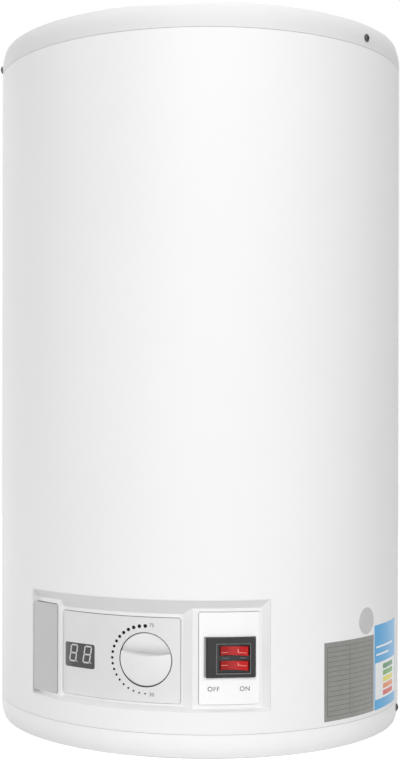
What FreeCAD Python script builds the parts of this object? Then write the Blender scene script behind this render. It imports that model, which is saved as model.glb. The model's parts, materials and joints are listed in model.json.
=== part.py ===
"""Wall-hung electric storage water heater of about 80 litres.

The heater is drawn round its own vertical axis, with z = 0 at its lower rim and its front
towards -Y. Each sub-part's Placement then moves it to the frame of the part, whose origin is
the centre of the wall bracket's slots, on the face that lies on the wall.
"""
import FreeCAD, Part
import math
import os
import Sketcher

DOCUMENT = FreeCAD.newDocument("storage_water_heater")
SUB_PARTS = []

# Driving dimensions in millimetres and degrees. Angles run round the axis from the front,
# positive towards the viewer's right.
SIZES = {
    # Casing
    "shell_radius": 225,
    "shell_wall": 0.8,
    "total_height": 743,
    "bottom_cap_height": 24.6,
    "top_cap_height": 25.6,
    "seam_gap": 0.4,
    "cap_wall": 1,
    "cap_straight": 8.5,
    "cap_draw_in": 2.8,
    "cap_corner": 2,
    "cap_step": 3,
    "cap_step_in": 33,
    "collar_drop": 1.6,
    "collar_height": 14,
    "clearance": 0.3,
    # Screws that hold the caps to the shell's collars
    "cap_screw_side_angle": 66,
    "cap_screw_rise": 10,
    "foot_screw_angle": 90,
    "foot_screw_drop": 6.9,
    "cap_screw_head_radius": 4,
    "cap_screw_head_height": 2.4,
    "cap_screw_radius": 1.9,
    "cap_screw_length": 8,
    # Tank
    "foam_wall": 21.2,
    "tank_wall": 2,
    "tank_over_panel": 11.8,
    "tank_top_gap": 105,
    "dome_depth": 62,
    "dome_knuckle": 40,
    "dome_skirt": 12,
    "weld_gap": 0.15,
    # Insulation
    "foam_top_gap": 7,
    "foam_edge_rise": 4,
    "foam_step_in": 18.9,
    "foam_step_drop": 23,
    "foam_inner_in": 53,
    "foam_inner_drop": 56,
    # Heating flange
    "flange_y": -30,
    "flange_radius": 62,
    "flange_bore": 46,
    "flange_face_drop": 72,
    "flange_neck_length": 22,
    "gasket_thickness": 2,
    "flange_thickness": 5,
    "stud_circle": 54,
    "flange_stud_count": 6,
    "stud_radius": 4,
    "stud_hole_radius": 4.5,
    "flange_stud_length": 22,
    "nut_height": 6.5,
    "nut_width": 13,
    # Heating elements
    "element_radius": 4,
    "element_bend": 12,
    "element_x": 30,
    "element_stand": 18,
    "left_element_length": 300,
    "right_element_length": 250,
    "insulator_radius": 5.5,
    "insulator_height": 7,
    "terminal_radius": 1.6,
    "terminal_length": 9,
    # Thermowell, anode and safety cut-out
    "well_y": -20,
    "well_radius": 4.5,
    "well_bore": 3.5,
    "well_stand": 14,
    "well_length": 210,
    "bulb_radius": 3,
    "bulb_rise": 24,
    "bulb_length": 80,
    "capillary_radius": 0.8,
    "capillary_bend": 16,
    "capillary_exit_drop": 13,
    "capillary_reach": 50.5,
    "capillary_low_height": 40,
    "anode_y": 26,
    "anode_radius": 10.5,
    "anode_rise": 3,
    "anode_length": 300,
    "anode_core_radius": 3,
    "anode_core_length": 25,
    "anode_nut_width": 10,
    "anode_nut_height": 5,
    "cutout_radius": 8.5,
    "cutout_height": 12,
    "cutout_plate": 1,
    "cutout_plate_radius": 11,
    "button_radius": 2.5,
    "button_cap_radius": 3.4,
    "button_length": 12,
    "button_stand": 4,
    "button_travel": 2.5,
    "button_gap": 0.1,
    "earth_x": -26,
    "earth_y": -34,
    "earth_screw_radius": 2.5,
    "earth_screw_length": 14,
    "earth_head_radius": 5,
    "earth_head_height": 3.5,
    # Water pipes
    "pipe_x": 50,
    "pipe_y": 75,
    "pipe_radius": 10.65,
    "pipe_thread_radius": 10.45,
    "pipe_thread_length": 25,
    "pipe_bore": 7.5,
    "pipe_stand": 28,
    "pipe_top_drop": 36,
    "riser_radius": 7.35,
    "riser_wall": 1,
    "riser_overlap": 18,
    "riser_top_gap": 15,
    "diffuser_radius": 16,
    "diffuser_wall": 2,
    "diffuser_lap": 8,
    "diffuser_height": 26,
    "diffuser_slot_height": 9,
    "ring_radius": 17,
    "ring_height": 5,
    # Control panel: outline, depths of its two floors and its slanted borders
    "panel_half_angle": 34.3,
    "panel_bottom": 46.8,
    "panel_rise": 109.4,
    "panel_gap": 0.3,
    "panel_land": 0.3,
    "upper_floor_depth": 5,
    "lower_floor_depth": 9,
    "panel_wall": 2.5,
    "top_slope": 1.65,
    "bottom_slope": 0.37,
    "right_floor_angle": 32.35,
    "pocket_left_angle": -23.8,
    "pocket_right_foot_angle": 11.87,
    "pocket_right_top_angle": 14.5,
    "panel_left_wall": 1.2,
    "relief_turn": 0.7,
    "relief_margin": 2.5,
    "flange_lap": 14,
    "flange_sheet": 2.2,
    "panel_stud_angle": 37.2,
    "panel_stud_inset": 15.2,
    "panel_stud_radius": 2,
    "panel_stud_length": 9,
    "panel_nut_width": 7,
    "panel_nut_height": 3.2,
    # Plates laid in the panel
    "plate_thickness": 1.2,
    "plate_bed": 0.1,
    "plate_corner": 1.5,
    "groove_width": 0.6,
    "groove_depth": 0.8,
    "groove_lap": 0.2,
    "strip_left_angle": -33.9,
    "strip_right_angle": -25.05,
    "strip_left_depth": 0.6,
    "strip_right_depth": 4.2,
    "strip_bottom_rise": 4.6,
    "strip_top_drop": 13.6,
    "strip_corner": 2,
    "fascia_left_angle": -23.45,
    "fascia_right_angle": 11.35,
    "fascia_bottom_rise": 6.2,
    "fascia_top_drop": 19.2,
    "switch_plate_left_angle": 16.15,
    "switch_plate_right_angle": 31.8,
    "switch_plate_bottom_rise": 6.7,
    "switch_plate_top_drop": 12.3,
    # Display
    "display_angle": -17.7,
    "display_drop": 8.3,
    "window_width": 37.9,
    "window_height": 24.8,
    "window_corner": 2.5,
    "window_gap": 0.15,
    "module_width": 30,
    "module_height": 19,
    "module_depth": 11,
    "module_gap": 0.8,
    "module_play": 0.3,
    "board_width": 46,
    "board_height": 34,
    "board_thickness": 1.6,
    "board_screw_x": 19,
    "board_post_radius": 3.2,
    "board_screw_radius": 1.2,
    "board_screw_length": 6,
    "board_screw_head": 2.4,
    # Temperature knob and thermostat
    "knob_angle": 2,
    "knob_drop": 6.5,
    "knob_radius": 26.4,
    "knob_gap": 0.9,
    "knob_rim": -0.8,
    "knob_crown": 2.6,
    "knob_edge": 1.2,
    "knob_skirt": 9.4,
    "knob_wall": 2.2,
    "knob_cavity_depth": 7.4,
    "knob_boss": 6,
    "hollow_edge": 4.15,
    "hollow_edge_arc": 130,
    "hollow_draft": 0.16,
    "hollow_turn": 1.3,
    "hollow_depth": 6,
    "hollow_foot": 5,
    "hollow_rim_depth": 1,
    "hollow_rim": 19,
    "cup_depth": 10.6,
    "cup_wall": 2.2,
    "spindle_hole_radius": 3.5,
    "spindle_radius": 3,
    "spindle_flat": 2.2,
    "spindle_in_knob": 9,
    "spindle_in_body": 8,
    "spindle_gap": 0.08,
    "thermostat_width": 36,
    "thermostat_depth": 22,
    "thermostat_corner": 3,
    "thermostat_screw_rise": 12,
    "thermostat_screw_radius": 1.9,
    "thermostat_screw_head": 3.5,
    "thermostat_screw_head_height": 1.8,
    "thermostat_screw_length": 8,
    # Power switch
    "switch_angle": 24.17,
    "switch_drop": 1.3,
    "switch_width": 48.4,
    "switch_rise": 39.4,
    "switch_proud": 4.5,
    "switch_bevel": 1.2,
    "switch_body_width": 43,
    "switch_body_rise": 33,
    "switch_body_depth": 22,
    "well_shift": 2.4,
    "well_drop": 1,
    "well_width": 32.6,
    "well_rise": 28.2,
    "well_depth": 1.8,
    "rocker_radius": 14.5,
    "rocker_rise": 8.8,
    "rocker_pitch": 14.3,
    "rocker_shift": 3.7,
    "rocker_drop": 0.6,
    "rocker_tip": 6.5,
    "rocker_waist": 3.2,
    "rocker_base": 6.3,
    "rocker_sink": 0.8,
    "rocker_tilt": 10,
    "rocker_room": 9.2,
    "rocker_gap": 0.4,
    "rocker_side_gap": 0.25,
    "trunnion_radius": 1.5,
    "trunnion_length": 1.2,
    "trunnion_gap": 0.08,
    "tab_width": 6.3,
    "tab_thickness": 0.8,
    "tab_length": 9,
    "tab_pitch": 12,
    "well_corner": 1,
    "switch_body_corner": 0.8,
    "rocker_edge": 0.8,
    # Mains inlet
    "gland_x": -95,
    "gland_y": -40,
    "gland_bore": 4.5,
    "gland_thread_radius": 9.8,
    "gland_thread_length": 14,
    "gland_width": 24,
    "gland_hex_height": 6,
    "gland_cap_radius": 10.8,
    "gland_cap_height": 8,
    "gland_nose_radius": 8,
    "gland_nose": 3,
    "gland_nut_height": 5,
    "block_x": -70,
    "block_y": -125,
    "block_width": 48,
    "block_depth": 22,
    "block_height": 18,
    "block_ways": 3,
    "block_pitch": 14,
    "block_screw_radius": 2.5,
    "block_screw_depth": 6,
    "block_wire_radius": 2,
    "block_wire_height": 6,
    # Wall fixing
    "wall_gap": 20,
    "bracket_drop": 143,
    "bracket_end": 25,
    "bracket_rise": 70,
    "bracket_sheet": 3,
    "bracket_web_depth": 10,
    "bracket_web_half": 72,
    "bracket_ramp": 10,
    "slot_spacing": 240,
    "slot_radius": 6.5,
    "slot_length": 24,
    "bracket_stud_x": 50,
    "bracket_stud_rise": 20,
    "bracket_hole_radius": 4.5,
    "spacer_radius": 9,
    "stud_stand": 7.5,
    "lower_spacer_height": 120,
    "lower_spacer_width": 40,
    "lower_spacer_rise": 50,
    "lower_spacer_corner": 4,
    "lower_screw_radius": 2.2,
}

# Places worked out from the driving dimensions. Size is the sheet of driving dimensions.
LAYOUT = {
    # Main places
    "shell_inner": "Size.shell_radius - Size.shell_wall",
    "panel_top": "Size.panel_bottom + Size.panel_rise",
    "panel_middle": "(Size.panel_bottom + panel_top) / 2",
    "tank_radius": "shell_inner - Size.foam_wall",
    "tank_bottom": "panel_top + Size.tank_over_panel",
    "tank_top": "Size.total_height - Size.tank_top_gap",
    "flange_face_height": "tank_bottom - Size.flange_face_drop",
    "bracket_height": "Size.total_height - Size.bracket_drop",
    "wall_y": "Size.shell_radius + Size.wall_gap",
    # Casing
    "cap_step_radius": "Size.shell_radius - Size.cap_step_in",
    "collar_outer": "Size.shell_radius - Size.collar_drop",
    "collar_inner": "collar_outer - Size.shell_wall",
    "bottom_seam": "Size.bottom_cap_height + Size.seam_gap / 2",
    "top_seam": "Size.total_height - Size.top_cap_height - Size.seam_gap / 2",
    "bottom_seam_floor": "bottom_seam + Size.shell_wall",
    "top_seam_floor": "top_seam - Size.shell_wall",
    "bottom_collar_end": "Size.bottom_cap_height - Size.collar_height",
    "top_collar_end": "Size.total_height - Size.top_cap_height + Size.collar_height",
    "cap_inner": "Size.shell_radius - Size.cap_wall",
    "cap_bend_radius": "Size.shell_radius - Size.cap_draw_in",
    "cap_bend_inner": "cap_bend_radius - Size.cap_wall",
    "cap_rim_radius": "cap_bend_radius - Size.cap_corner",
    "cap_step_foot": "cap_step_radius + Size.cap_step",
    "top_bend_rise": "Size.top_cap_height - Size.cap_straight - Size.cap_corner",
    "bottom_bend_rise": "Size.bottom_cap_height - Size.cap_straight - Size.cap_corner",
    "top_bend_arc": "(top_bend_rise ^ 2 + Size.cap_draw_in ^ 2) / (2 * Size.cap_draw_in)",
    "bottom_bend_arc": "(bottom_bend_rise ^ 2 + Size.cap_draw_in ^ 2) / (2 * Size.cap_draw_in)",
    "top_screw_height": "Size.total_height - Size.top_cap_height + Size.cap_screw_rise",
    "foot_screw_height": "Size.bottom_cap_height - Size.foot_screw_drop",
    # Tank and its domes
    "tank_inner": "tank_radius - Size.tank_wall",
    "dome_radius": "tank_inner - Size.weld_gap",
    "dome_inner": "dome_radius - Size.tank_wall",
    "knuckle_centre": "dome_radius - Size.dome_knuckle",
    "knuckle_inner": "Size.dome_knuckle - Size.tank_wall",
    "crown": "(knuckle_centre ^ 2 + Size.dome_depth ^ 2 - Size.dome_knuckle ^ 2)"
             " / (2 * (Size.dome_depth - Size.dome_knuckle))",
    "crown_inner": "crown - Size.tank_wall",
    "crown_drop": "crown - Size.dome_depth",
    "crown_to_knuckle": "crown - Size.dome_knuckle",
    "tangent_radius": "knuckle_centre * crown / crown_to_knuckle",
    "tangent_inner_radius": "knuckle_centre * crown_inner / crown_to_knuckle",
    "tangent_rise": "crown_drop * crown / crown_to_knuckle - crown_drop",
    "tangent_inner_rise": "crown_drop * crown_inner / crown_to_knuckle - crown_drop",
    # Space that the tank takes in the foam
    "space_radius": "tank_radius + Size.clearance",
    "space_dome_radius": "dome_radius + Size.clearance",
    "space_bottom": "tank_bottom - Size.clearance",
    "space_top": "tank_top + Size.clearance",
    "space_knuckle": "Size.dome_knuckle + Size.clearance",
    "space_crown": "crown + Size.clearance",
    "space_tangent_radius": "knuckle_centre * space_crown / crown_to_knuckle",
    "space_tangent_rise": "crown_drop * space_crown / crown_to_knuckle - crown_drop",
    "foam_outer": "shell_inner - Size.clearance",
    "foam_collar": "collar_inner - Size.clearance",
    "foam_shoulder": "top_seam_floor - Size.clearance",
    "foam_core": "(tank_bottom + tank_top) / 2",
    "foam_top": "Size.total_height - Size.foam_top_gap",
    "foam_front_edge": "tank_bottom + Size.foam_edge_rise",
    "foam_step_radius": "foam_outer - Size.foam_step_in",
    "foam_step_height": "tank_bottom - Size.foam_step_drop",
    "foam_inner_radius": "tank_radius - Size.foam_inner_in",
    "foam_inner_height": "tank_bottom - Size.foam_inner_drop",
    # Heating flange
    "flange_top": "flange_face_height - Size.gasket_thickness",
    "flange_low": "flange_top - Size.flange_thickness",
    "nut_low": "flange_low - Size.nut_height",
    "element_start": "flange_face_height - Size.element_stand",
    "well_bottom": "flange_face_height - Size.well_stand",
    "bulb_start": "flange_face_height + Size.bulb_rise",
    "anode_start": "flange_face_height + Size.anode_rise",
    "well_top": "well_bottom + Size.well_length",
    "anode_core_low": "anode_start - Size.anode_core_length",
    "cutout_plate_low": "flange_low - Size.cutout_plate",
    "cutout_low": "cutout_plate_low - Size.cutout_height",
    "button_hole": "Size.button_radius + Size.button_gap",
    "button_low": "cutout_low - Size.button_stand",
    "button_cap_top": "cutout_low - Size.button_travel",
    "button_top": "button_low + Size.button_length",
    "button_hole_top": "button_top + Size.button_travel + Size.clearance",
    # Water pipes and the diffuser of the cold inlet
    "pipe_top": "tank_bottom - Size.pipe_top_drop",
    "thread_top": "Size.pipe_thread_length - Size.pipe_stand",
    "riser_top": "tank_top + Size.dome_depth - Size.riser_top_gap",
    "diffuser_low": "pipe_top - Size.diffuser_lap",
    "diffuser_top": "diffuser_low + Size.diffuser_height",
    # Control panel
    "panel_half_width": "Size.shell_radius * sin(Size.panel_half_angle)",
    "panel_stud_low": "Size.panel_bottom + Size.panel_stud_inset",
    "panel_stud_high": "panel_top - Size.panel_stud_inset",
    "strip_bottom": "Size.panel_bottom + Size.strip_bottom_rise",
    "strip_top": "panel_top - Size.strip_top_drop",
    "fascia_bottom": "Size.panel_bottom + Size.fascia_bottom_rise",
    "fascia_top": "panel_top - Size.fascia_top_drop",
    "switch_plate_bottom": "Size.panel_bottom + Size.switch_plate_bottom_rise",
    "switch_plate_top": "panel_top - Size.switch_plate_top_drop",
    "display_height": "panel_middle - Size.display_drop",
    "knob_height": "panel_middle - Size.knob_drop",
    "switch_height": "panel_middle - Size.switch_drop",
    "upper_floor": "Size.shell_radius - Size.upper_floor_depth",
    "lower_floor": "Size.shell_radius - Size.lower_floor_depth",
    "panel_back": "lower_floor - Size.panel_wall",
    "upper_back": "upper_floor - Size.panel_wall",
    "border_top": "panel_top - Size.panel_land",
    "border_bottom": "Size.panel_bottom + Size.panel_land",
    "panel_height": "panel_top - Size.panel_bottom",
    "cutter_radius": "Size.shell_radius + 4",
    "panel_edge_angle": "asin((panel_half_width - Size.panel_land) / Size.shell_radius) / 1 deg",
    "flange_outer": "shell_inner - Size.clearance",
    "flange_inner": "flange_outer - Size.flange_sheet",
    "flange_half": "panel_half_width + Size.flange_lap",
    "flange_bottom": "Size.panel_bottom - Size.flange_lap / 2",
    "flange_rise": "panel_height + Size.flange_lap",
    "back_top": "panel_top - (flange_inner - panel_back) * Size.top_slope",
    "back_bottom": "Size.panel_bottom + (flange_inner - panel_back) * Size.bottom_slope",
    "left_wall_x": "panel_half_width - Size.panel_left_wall",
    "strip_left": "Size.shell_radius - Size.strip_left_depth",
    "strip_right": "Size.shell_radius - Size.strip_right_depth",
    "fascia_back": "lower_floor + Size.plate_bed",
    "fascia_face": "fascia_back + Size.plate_thickness",
    "plate_back": "upper_floor + Size.plate_bed",
    "plate_face": "plate_back + Size.plate_thickness",
    "groove_turn": "Size.groove_width / lower_floor * 180 / pi",
    "groove_lap_turn": "Size.groove_lap / lower_floor * 180 / pi",
    # Knob and thermostat, out from the axis
    "hollow_fall": "Size.hollow_depth - Size.hollow_rim_depth",
    "hollow_arc": "((Size.hollow_rim - Size.hollow_foot) ^ 2 + hollow_fall ^ 2) / (2 * hollow_fall)",
    "hollow_low": "-Size.hollow_depth - 1",
    "hollow_high": "Size.knob_crown + 1",
    "knob_hole": "Size.knob_radius + Size.knob_gap",
    "cup_floor": "fascia_face - Size.cup_depth",
    "cup_back": "cup_floor - Size.cup_wall",
    "cup_outer": "knob_hole + Size.cup_wall",
    "thermostat_back": "cup_back - Size.thermostat_depth",
    "capillary_exit_height": "knob_height - Size.capillary_exit_drop",
    "capillary_drop_y": "Size.capillary_reach - thermostat_back",
    "spindle_length": "fascia_face - Size.knob_skirt - cup_back + Size.spindle_in_knob"
                      " + Size.spindle_in_body",
    "knob_dome": "((Size.knob_radius - Size.knob_edge) ^ 2 + (Size.knob_crown - Size.knob_rim) ^ 2)"
                 " / (2 * (Size.knob_crown - Size.knob_rim))",
    "knob_inner": "Size.knob_radius - Size.knob_wall",
    # Mains inlet
    "gland_hex_low": "Size.cap_step - Size.gland_hex_height",
    "gland_cap_low": "gland_hex_low - Size.gland_cap_height",
    "gland_nose_top": "gland_cap_low + Size.gland_nose",
    "plate_top": "Size.cap_step + Size.cap_wall",
    # Switch
    "well_floor": "Size.switch_proud - Size.well_depth",
    "cavity_floor": "Size.rocker_sink + Size.rocker_room",
    "trunnion_reach": "(Size.rocker_pitch + Size.rocker_rise) / 2 + Size.trunnion_length"
                      " + Size.clearance",
    "rocker_tip_x": "sqrt(Size.rocker_radius ^ 2 - Size.rocker_tip ^ 2)",
    "rocker_base_x": "sqrt(Size.rocker_radius ^ 2 - Size.rocker_base ^ 2)",
    "rocker_dip": "Size.rocker_tip - Size.rocker_waist",
    "rocker_dish": "(rocker_tip_x ^ 2 + rocker_dip ^ 2) / (2 * rocker_dip)",
    "cavity_half": "Size.rocker_radius + Size.rocker_gap",
    "cavity_rise": "Size.rocker_rise + 2 * Size.rocker_side_gap",
    # Display
    "module_back": "lower_floor - Size.module_gap - Size.module_depth",
    "board_back": "module_back - Size.board_thickness",
    # Wall bracket
    "wing_front": "wall_y - Size.bracket_sheet",
    "web_back": "wall_y - Size.bracket_web_depth",
    "web_front": "web_back - Size.bracket_sheet",
    "bracket_mitre": "Size.bracket_sheet * tan(atan(Size.bracket_web_depth / Size.bracket_ramp) / 2)",
    "bracket_half": "Size.slot_spacing / 2 + Size.bracket_end",
    "ramp_end": "Size.bracket_web_half + Size.bracket_ramp",
    "bracket_low": "bracket_height - Size.bracket_rise / 2",
    "stud_end": "web_back + Size.stud_stand",
    "slot_half": "Size.slot_length / 2 - Size.slot_radius",
}


def make_sheet(name, cells):
    """A spreadsheet with one named cell to a row."""
    sheet = DOCUMENT.addObject("Spreadsheet::Sheet", name)
    for row, (alias, content) in enumerate(cells.items(), start=1):
        sheet.set(f"A{row}", alias)
        sheet.set(f"B{row}", content)
        sheet.setAlias(f"B{row}", alias)
    return sheet


make_sheet("Size", {alias: str(size) for alias, size in SIZES.items()})
make_sheet("Place", {alias: "=" + formula for alias, formula in LAYOUT.items()})
WORK_SHEET = DOCUMENT.addObject("Spreadsheet::Sheet", "Work")
DOCUMENT.recompute()


def number(formula):
    """The value of a formula, worked out by the document itself."""
    WORK_SHEET.set("A1", "=" + formula)
    WORK_SHEET.recompute()
    return float(WORK_SHEET.get("A1"))


def new_body(name):
    return DOCUMENT.addObject("PartDesign::Body", name)


def new_sketch(body, name, role, offset="0"):
    """A sketch on one of the body's own origin planes, moved along the plane's normal."""
    sketch = body.newObject("Sketcher::SketchObject", name)
    plane = [feature for feature in body.Origin.OriginFeatures if feature.Role == role][0]
    sketch.AttachmentSupport = [(plane, "")]
    sketch.MapMode = "FlatFace"
    if offset != "0":
        sketch.setExpression("AttachmentOffset.Base.z", offset)
    return sketch


def fix_coordinate(sketch, kind, axis, edge, end, formula):
    """Ties one coordinate of a point to a formula, or to the axis where it is zero."""
    if formula == "0":
        sketch.addConstraint(Sketcher.Constraint("PointOnObject", edge, end, axis))
        return
    constraint = Sketcher.Constraint(kind, -1, 1, edge, end, number(formula))
    index = sketch.addConstraint(constraint)
    sketch.setExpression(f"Constraints[{index}]", formula)


def fix_point(sketch, edge, end, x, y):
    fix_coordinate(sketch, "DistanceX", -2, edge, end, x)
    fix_coordinate(sketch, "DistanceY", -1, edge, end, y)


def fix_radius(sketch, edge, formula):
    index = sketch.addConstraint(Sketcher.Constraint("Radius", edge, number(formula)))
    sketch.setExpression(f"Constraints[{index}]", formula)


def outline(sketch, corners, arcs=None, closed=True):
    """An outline through corners given as pairs of formulas, or an open path.

    arcs maps an edge to its radius and side: 1 swells it to the left of the way it runs,
    -1 to the right.
    """
    arcs = arcs or {}
    points = [FreeCAD.Vector(number(x), number(y), 0) for x, y in corners]
    edges = len(points) if closed else len(points) - 1
    first_edge = sketch.GeometryCount
    ends = []
    for i, start in enumerate(points[:edges]):
        finish = points[(i + 1) % len(points)]
        if i in arcs:
            radius, side = arcs[i]
            half = (finish - start) / 2
            rise = number(radius) - math.sqrt(max(number(radius) ** 2 - half.Length ** 2, 0))
            left = FreeCAD.Vector(-half.y, half.x, 0).normalize()
            shape = Part.Arc(start, start + half + left * rise * side, finish)
        else:
            shape = Part.LineSegment(start, finish)
        edge = sketch.addGeometry(shape, False)
        forward = sketch.getPoint(edge, 1).distanceToPoint(start) < 1e-6
        ends.append((1, 2) if forward else (2, 1))
    for i, (x, y) in enumerate(corners[:edges]):
        here = first_edge + i
        fix_point(sketch, here, ends[i][0], x, y)
        if i in arcs:
            fix_radius(sketch, here, arcs[i][0])
        if closed or i + 1 < edges:
            following = (i + 1) % edges
            sketch.addConstraint(Sketcher.Constraint(
                "Coincident", here, ends[i][1], first_edge + following, ends[following][0]))
        else:
            fix_point(sketch, here, ends[i][1], *corners[-1])


def circle(sketch, radius, x="0", y="0"):
    centre = FreeCAD.Vector(number(x), number(y), 0)
    shape = Part.Circle(centre, FreeCAD.Vector(0, 0, 1), number(radius))
    edge = sketch.addGeometry(shape, False)
    fix_point(sketch, edge, 3, x, y)
    fix_radius(sketch, edge, radius)


def rectangle(sketch, width, height, x="0", y="0"):
    left = f"({x}) - ({width}) / 2"
    right = f"({x}) + ({width}) / 2"
    low = f"({y}) - ({height}) / 2"
    high = f"({y}) + ({height}) / 2"
    outline(sketch, [(left, low), (right, low), (right, high), (left, high)])


def pad(body, sketch, length, midplane=False, reverse=False):
    feature = body.newObject("PartDesign::Pad", sketch.Name + "_pad")
    feature.Profile = sketch
    feature.setExpression("Length", length)
    feature.Midplane = midplane
    feature.Reversed = reverse
    return feature


def fillet(body, base, radius, wanted):
    """Rounds the edges of a feature for which wanted(edge) is true."""
    DOCUMENT.recompute()
    names = [f"Edge{i}" for i, edge in enumerate(base.Shape.Edges, start=1) if wanted(edge)]
    feature = body.newObject("PartDesign::Fillet", base.Name + "_round")
    feature.Base = (base, names)
    feature.setExpression("Radius", radius)
    return feature


def bevel(body, base, size, wanted):
    """Cuts the edges of a feature for which wanted(edge) is true at 45 degrees."""
    DOCUMENT.recompute()
    names = [f"Edge{i}" for i, edge in enumerate(base.Shape.Edges, start=1) if wanted(edge)]
    feature = body.newObject("PartDesign::Chamfer", base.Name + "_bevel")
    feature.Base = (base, names)
    feature.setExpression("Size", size)
    return feature


def along(axis):
    """Picks straight edges that run along an axis."""
    def wanted(edge):
        if edge.Curve.TypeId != "Part::GeomLine":
            return False
        return abs(edge.Curve.Direction.dot(axis)) > 0.999
    return wanted


X_AXIS = FreeCAD.Vector(1, 0, 0)
Y_AXIS = FreeCAD.Vector(0, 1, 0)
Z_AXIS = FreeCAD.Vector(0, 0, 1)


def revolved(name, corners, arcs=None):
    """A body turned round its Z axis from an outline of radius and height."""
    body = new_body(name)
    sketch = new_sketch(body, name + "_outline", "XZ_Plane")
    outline(sketch, corners, arcs)
    feature = body.newObject("PartDesign::Revolution", name + "_turned")
    feature.Profile = sketch
    feature.ReferenceAxis = (sketch, ["V_Axis"])
    feature.Angle = 360
    return body


def ring(name, inner, outer, bottom, top):
    return revolved(name, [(inner, bottom), (outer, bottom), (outer, top), (inner, top)])


def rounded_block(name, width, depth, height, radius="0", start="0", role="XY_Plane"):
    """A block on a plane of its body, centred on the origin, with its long edges rounded."""
    body = new_body(name)
    sketch = new_sketch(body, name + "_outline", role, start)
    rectangle(sketch, width, depth)
    block = pad(body, sketch, height)
    if radius != "0":
        normal = {"XY_Plane": Z_AXIS, "XZ_Plane": Y_AXIS, "YZ_Plane": X_AXIS}[role]
        fillet(body, block, radius, along(normal))
    return body


def where(angle="0", out="0", up="0", roll="0", x="0", y="0"):
    """Placement formula on the heater: turned round its axis, then out, up and aside."""
    shift_x = f"({out}) * sin({angle}) + ({x})"
    shift_y = f"({y}) - ({out}) * cos({angle})"
    return f"placement(vector({shift_x}; {shift_y}; {up}); rotation({angle}; 0; {roll}))"


TO_PART_FRAME = "placement(vector(0; -Place.wall_y; -Place.bracket_height); rotation(0; 0; 0))"


def put(item, placement=None):
    if placement:
        item.setExpression("Placement", placement)
    return item


def cylinder(name, radius, height, placement=None):
    item = DOCUMENT.addObject("Part::Cylinder", name)
    item.setExpression("Radius", radius)
    item.setExpression("Height", height)
    return put(item, placement)


def block_tool(name, size, corner):
    """A box with a given size and lowest corner."""
    item = DOCUMENT.addObject("Part::Box", name)
    for side, formula in zip(("Length", "Width", "Height"), size):
        item.setExpression(side, formula)
    return put(item, "placement(vector({}; {}; {}); rotation(0; 0; 0))".format(*corner))


def radial_hole(name, radius, angle, height, start="0"):
    """A tool that drills outwards from the axis, or from a radius."""
    return cylinder(name, radius, f"Size.shell_radius + 10 - ({start})",
                    where(angle, start, height, "90"))


def fuse(name, items):
    feature = DOCUMENT.addObject("Part::MultiFuse", name)
    feature.Shapes = items
    return feature


def cut(name, base, tools):
    feature = DOCUMENT.addObject("Part::Cut", name)
    feature.Base = base
    feature.Tool = tools[0] if len(tools) == 1 else fuse(name + "_tools", tools)
    return feature


def common(name, first, second):
    feature = DOCUMENT.addObject("Part::Common", name)
    feature.Base = first
    feature.Tool = second
    return feature


def group(name, items):
    feature = DOCUMENT.addObject("Part::Compound", name)
    feature.Links = items
    return feature


def sub_part(item, label, placement=None):
    """Names a finished piece and moves it into the frame of the part."""
    item.Label = label
    put(item, TO_PART_FRAME + " * " + placement if placement else TO_PART_FRAME)
    SUB_PARTS.append(item)
    return item


def screw(name, head_radius, head_height, radius, length, placement):
    """A domed screw whose head stands on its own XY plane, shank downwards."""
    edge_height = f"0.4 * {head_height}"
    dome = f"0.6 * {head_height}"
    arc = f"({head_radius} ^ 2 + ({dome}) ^ 2) / (2 * {dome})"
    corners = [("0", f"-{length}"), (radius, f"-{length}"), (radius, "0"), (head_radius, "0"),
               (head_radius, edge_height), ("0", head_height)]
    return put(revolved(name, corners, {4: (arc, -1)}), placement)


def nut(name, width, height, bore, placement=None):
    """A hexagon nut that rises from its own XY plane."""
    blank = DOCUMENT.addObject("Part::Prism", name + "_blank")
    blank.Polygon = 6
    blank.setExpression("Circumradius", f"{width} / sqrt(3)")
    blank.setExpression("Height", height)
    hole = cylinder(name + "_bore", bore, height)
    return put(cut(name, blank, [hole]), placement)


def cover(prefix, side):
    """A pressed cap: straight skirt, drawn-in rim and a shallow step round its middle."""
    cap_height = f"Size.{prefix}_cap_height"

    def level(offset):
        return f"Size.total_height - ({offset})" if prefix == "top" else offset

    edge = level(f"{cap_height} - Size.seam_gap / 2")
    bend = level(f"{cap_height} - Size.cap_straight")
    corner = level("Size.cap_corner")
    rim = level("0")
    rim_inside = level("Size.cap_wall")
    plate = level("Size.cap_step")
    plate_inside = level("Size.cap_step + Size.cap_wall")
    step_inside = "Place.cap_step_radius - 0.4 * Size.cap_wall"
    foot_inside = "Place.cap_step_foot - 0.4 * Size.cap_wall"
    corners = [("Place.cap_inner", edge), ("Size.shell_radius", edge),
               ("Size.shell_radius", bend), ("Place.cap_bend_radius", corner),
               ("Place.cap_rim_radius", rim), ("Place.cap_step_foot", rim),
               ("Place.cap_step_radius", plate), ("0", plate),
               ("0", plate_inside), (step_inside, plate_inside),
               (foot_inside, rim_inside), ("Place.cap_rim_radius", rim_inside),
               ("Place.cap_bend_inner", corner), ("Place.cap_inner", bend)]
    bend_arc = f"Place.{prefix}_bend_arc"
    arcs = {2: (bend_arc, side), 3: ("Size.cap_corner", side),
            11: ("Size.cap_corner - Size.cap_wall", -side), 12: (bend_arc, -side)}
    return revolved(prefix + "_cap", corners, arcs)


CAP_SCREW_ANGLES = ("Size.cap_screw_side_angle", "-Size.cap_screw_side_angle", "180")
FOOT_SCREW_ANGLES = ("Size.foot_screw_angle", "-Size.foot_screw_angle")


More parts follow.
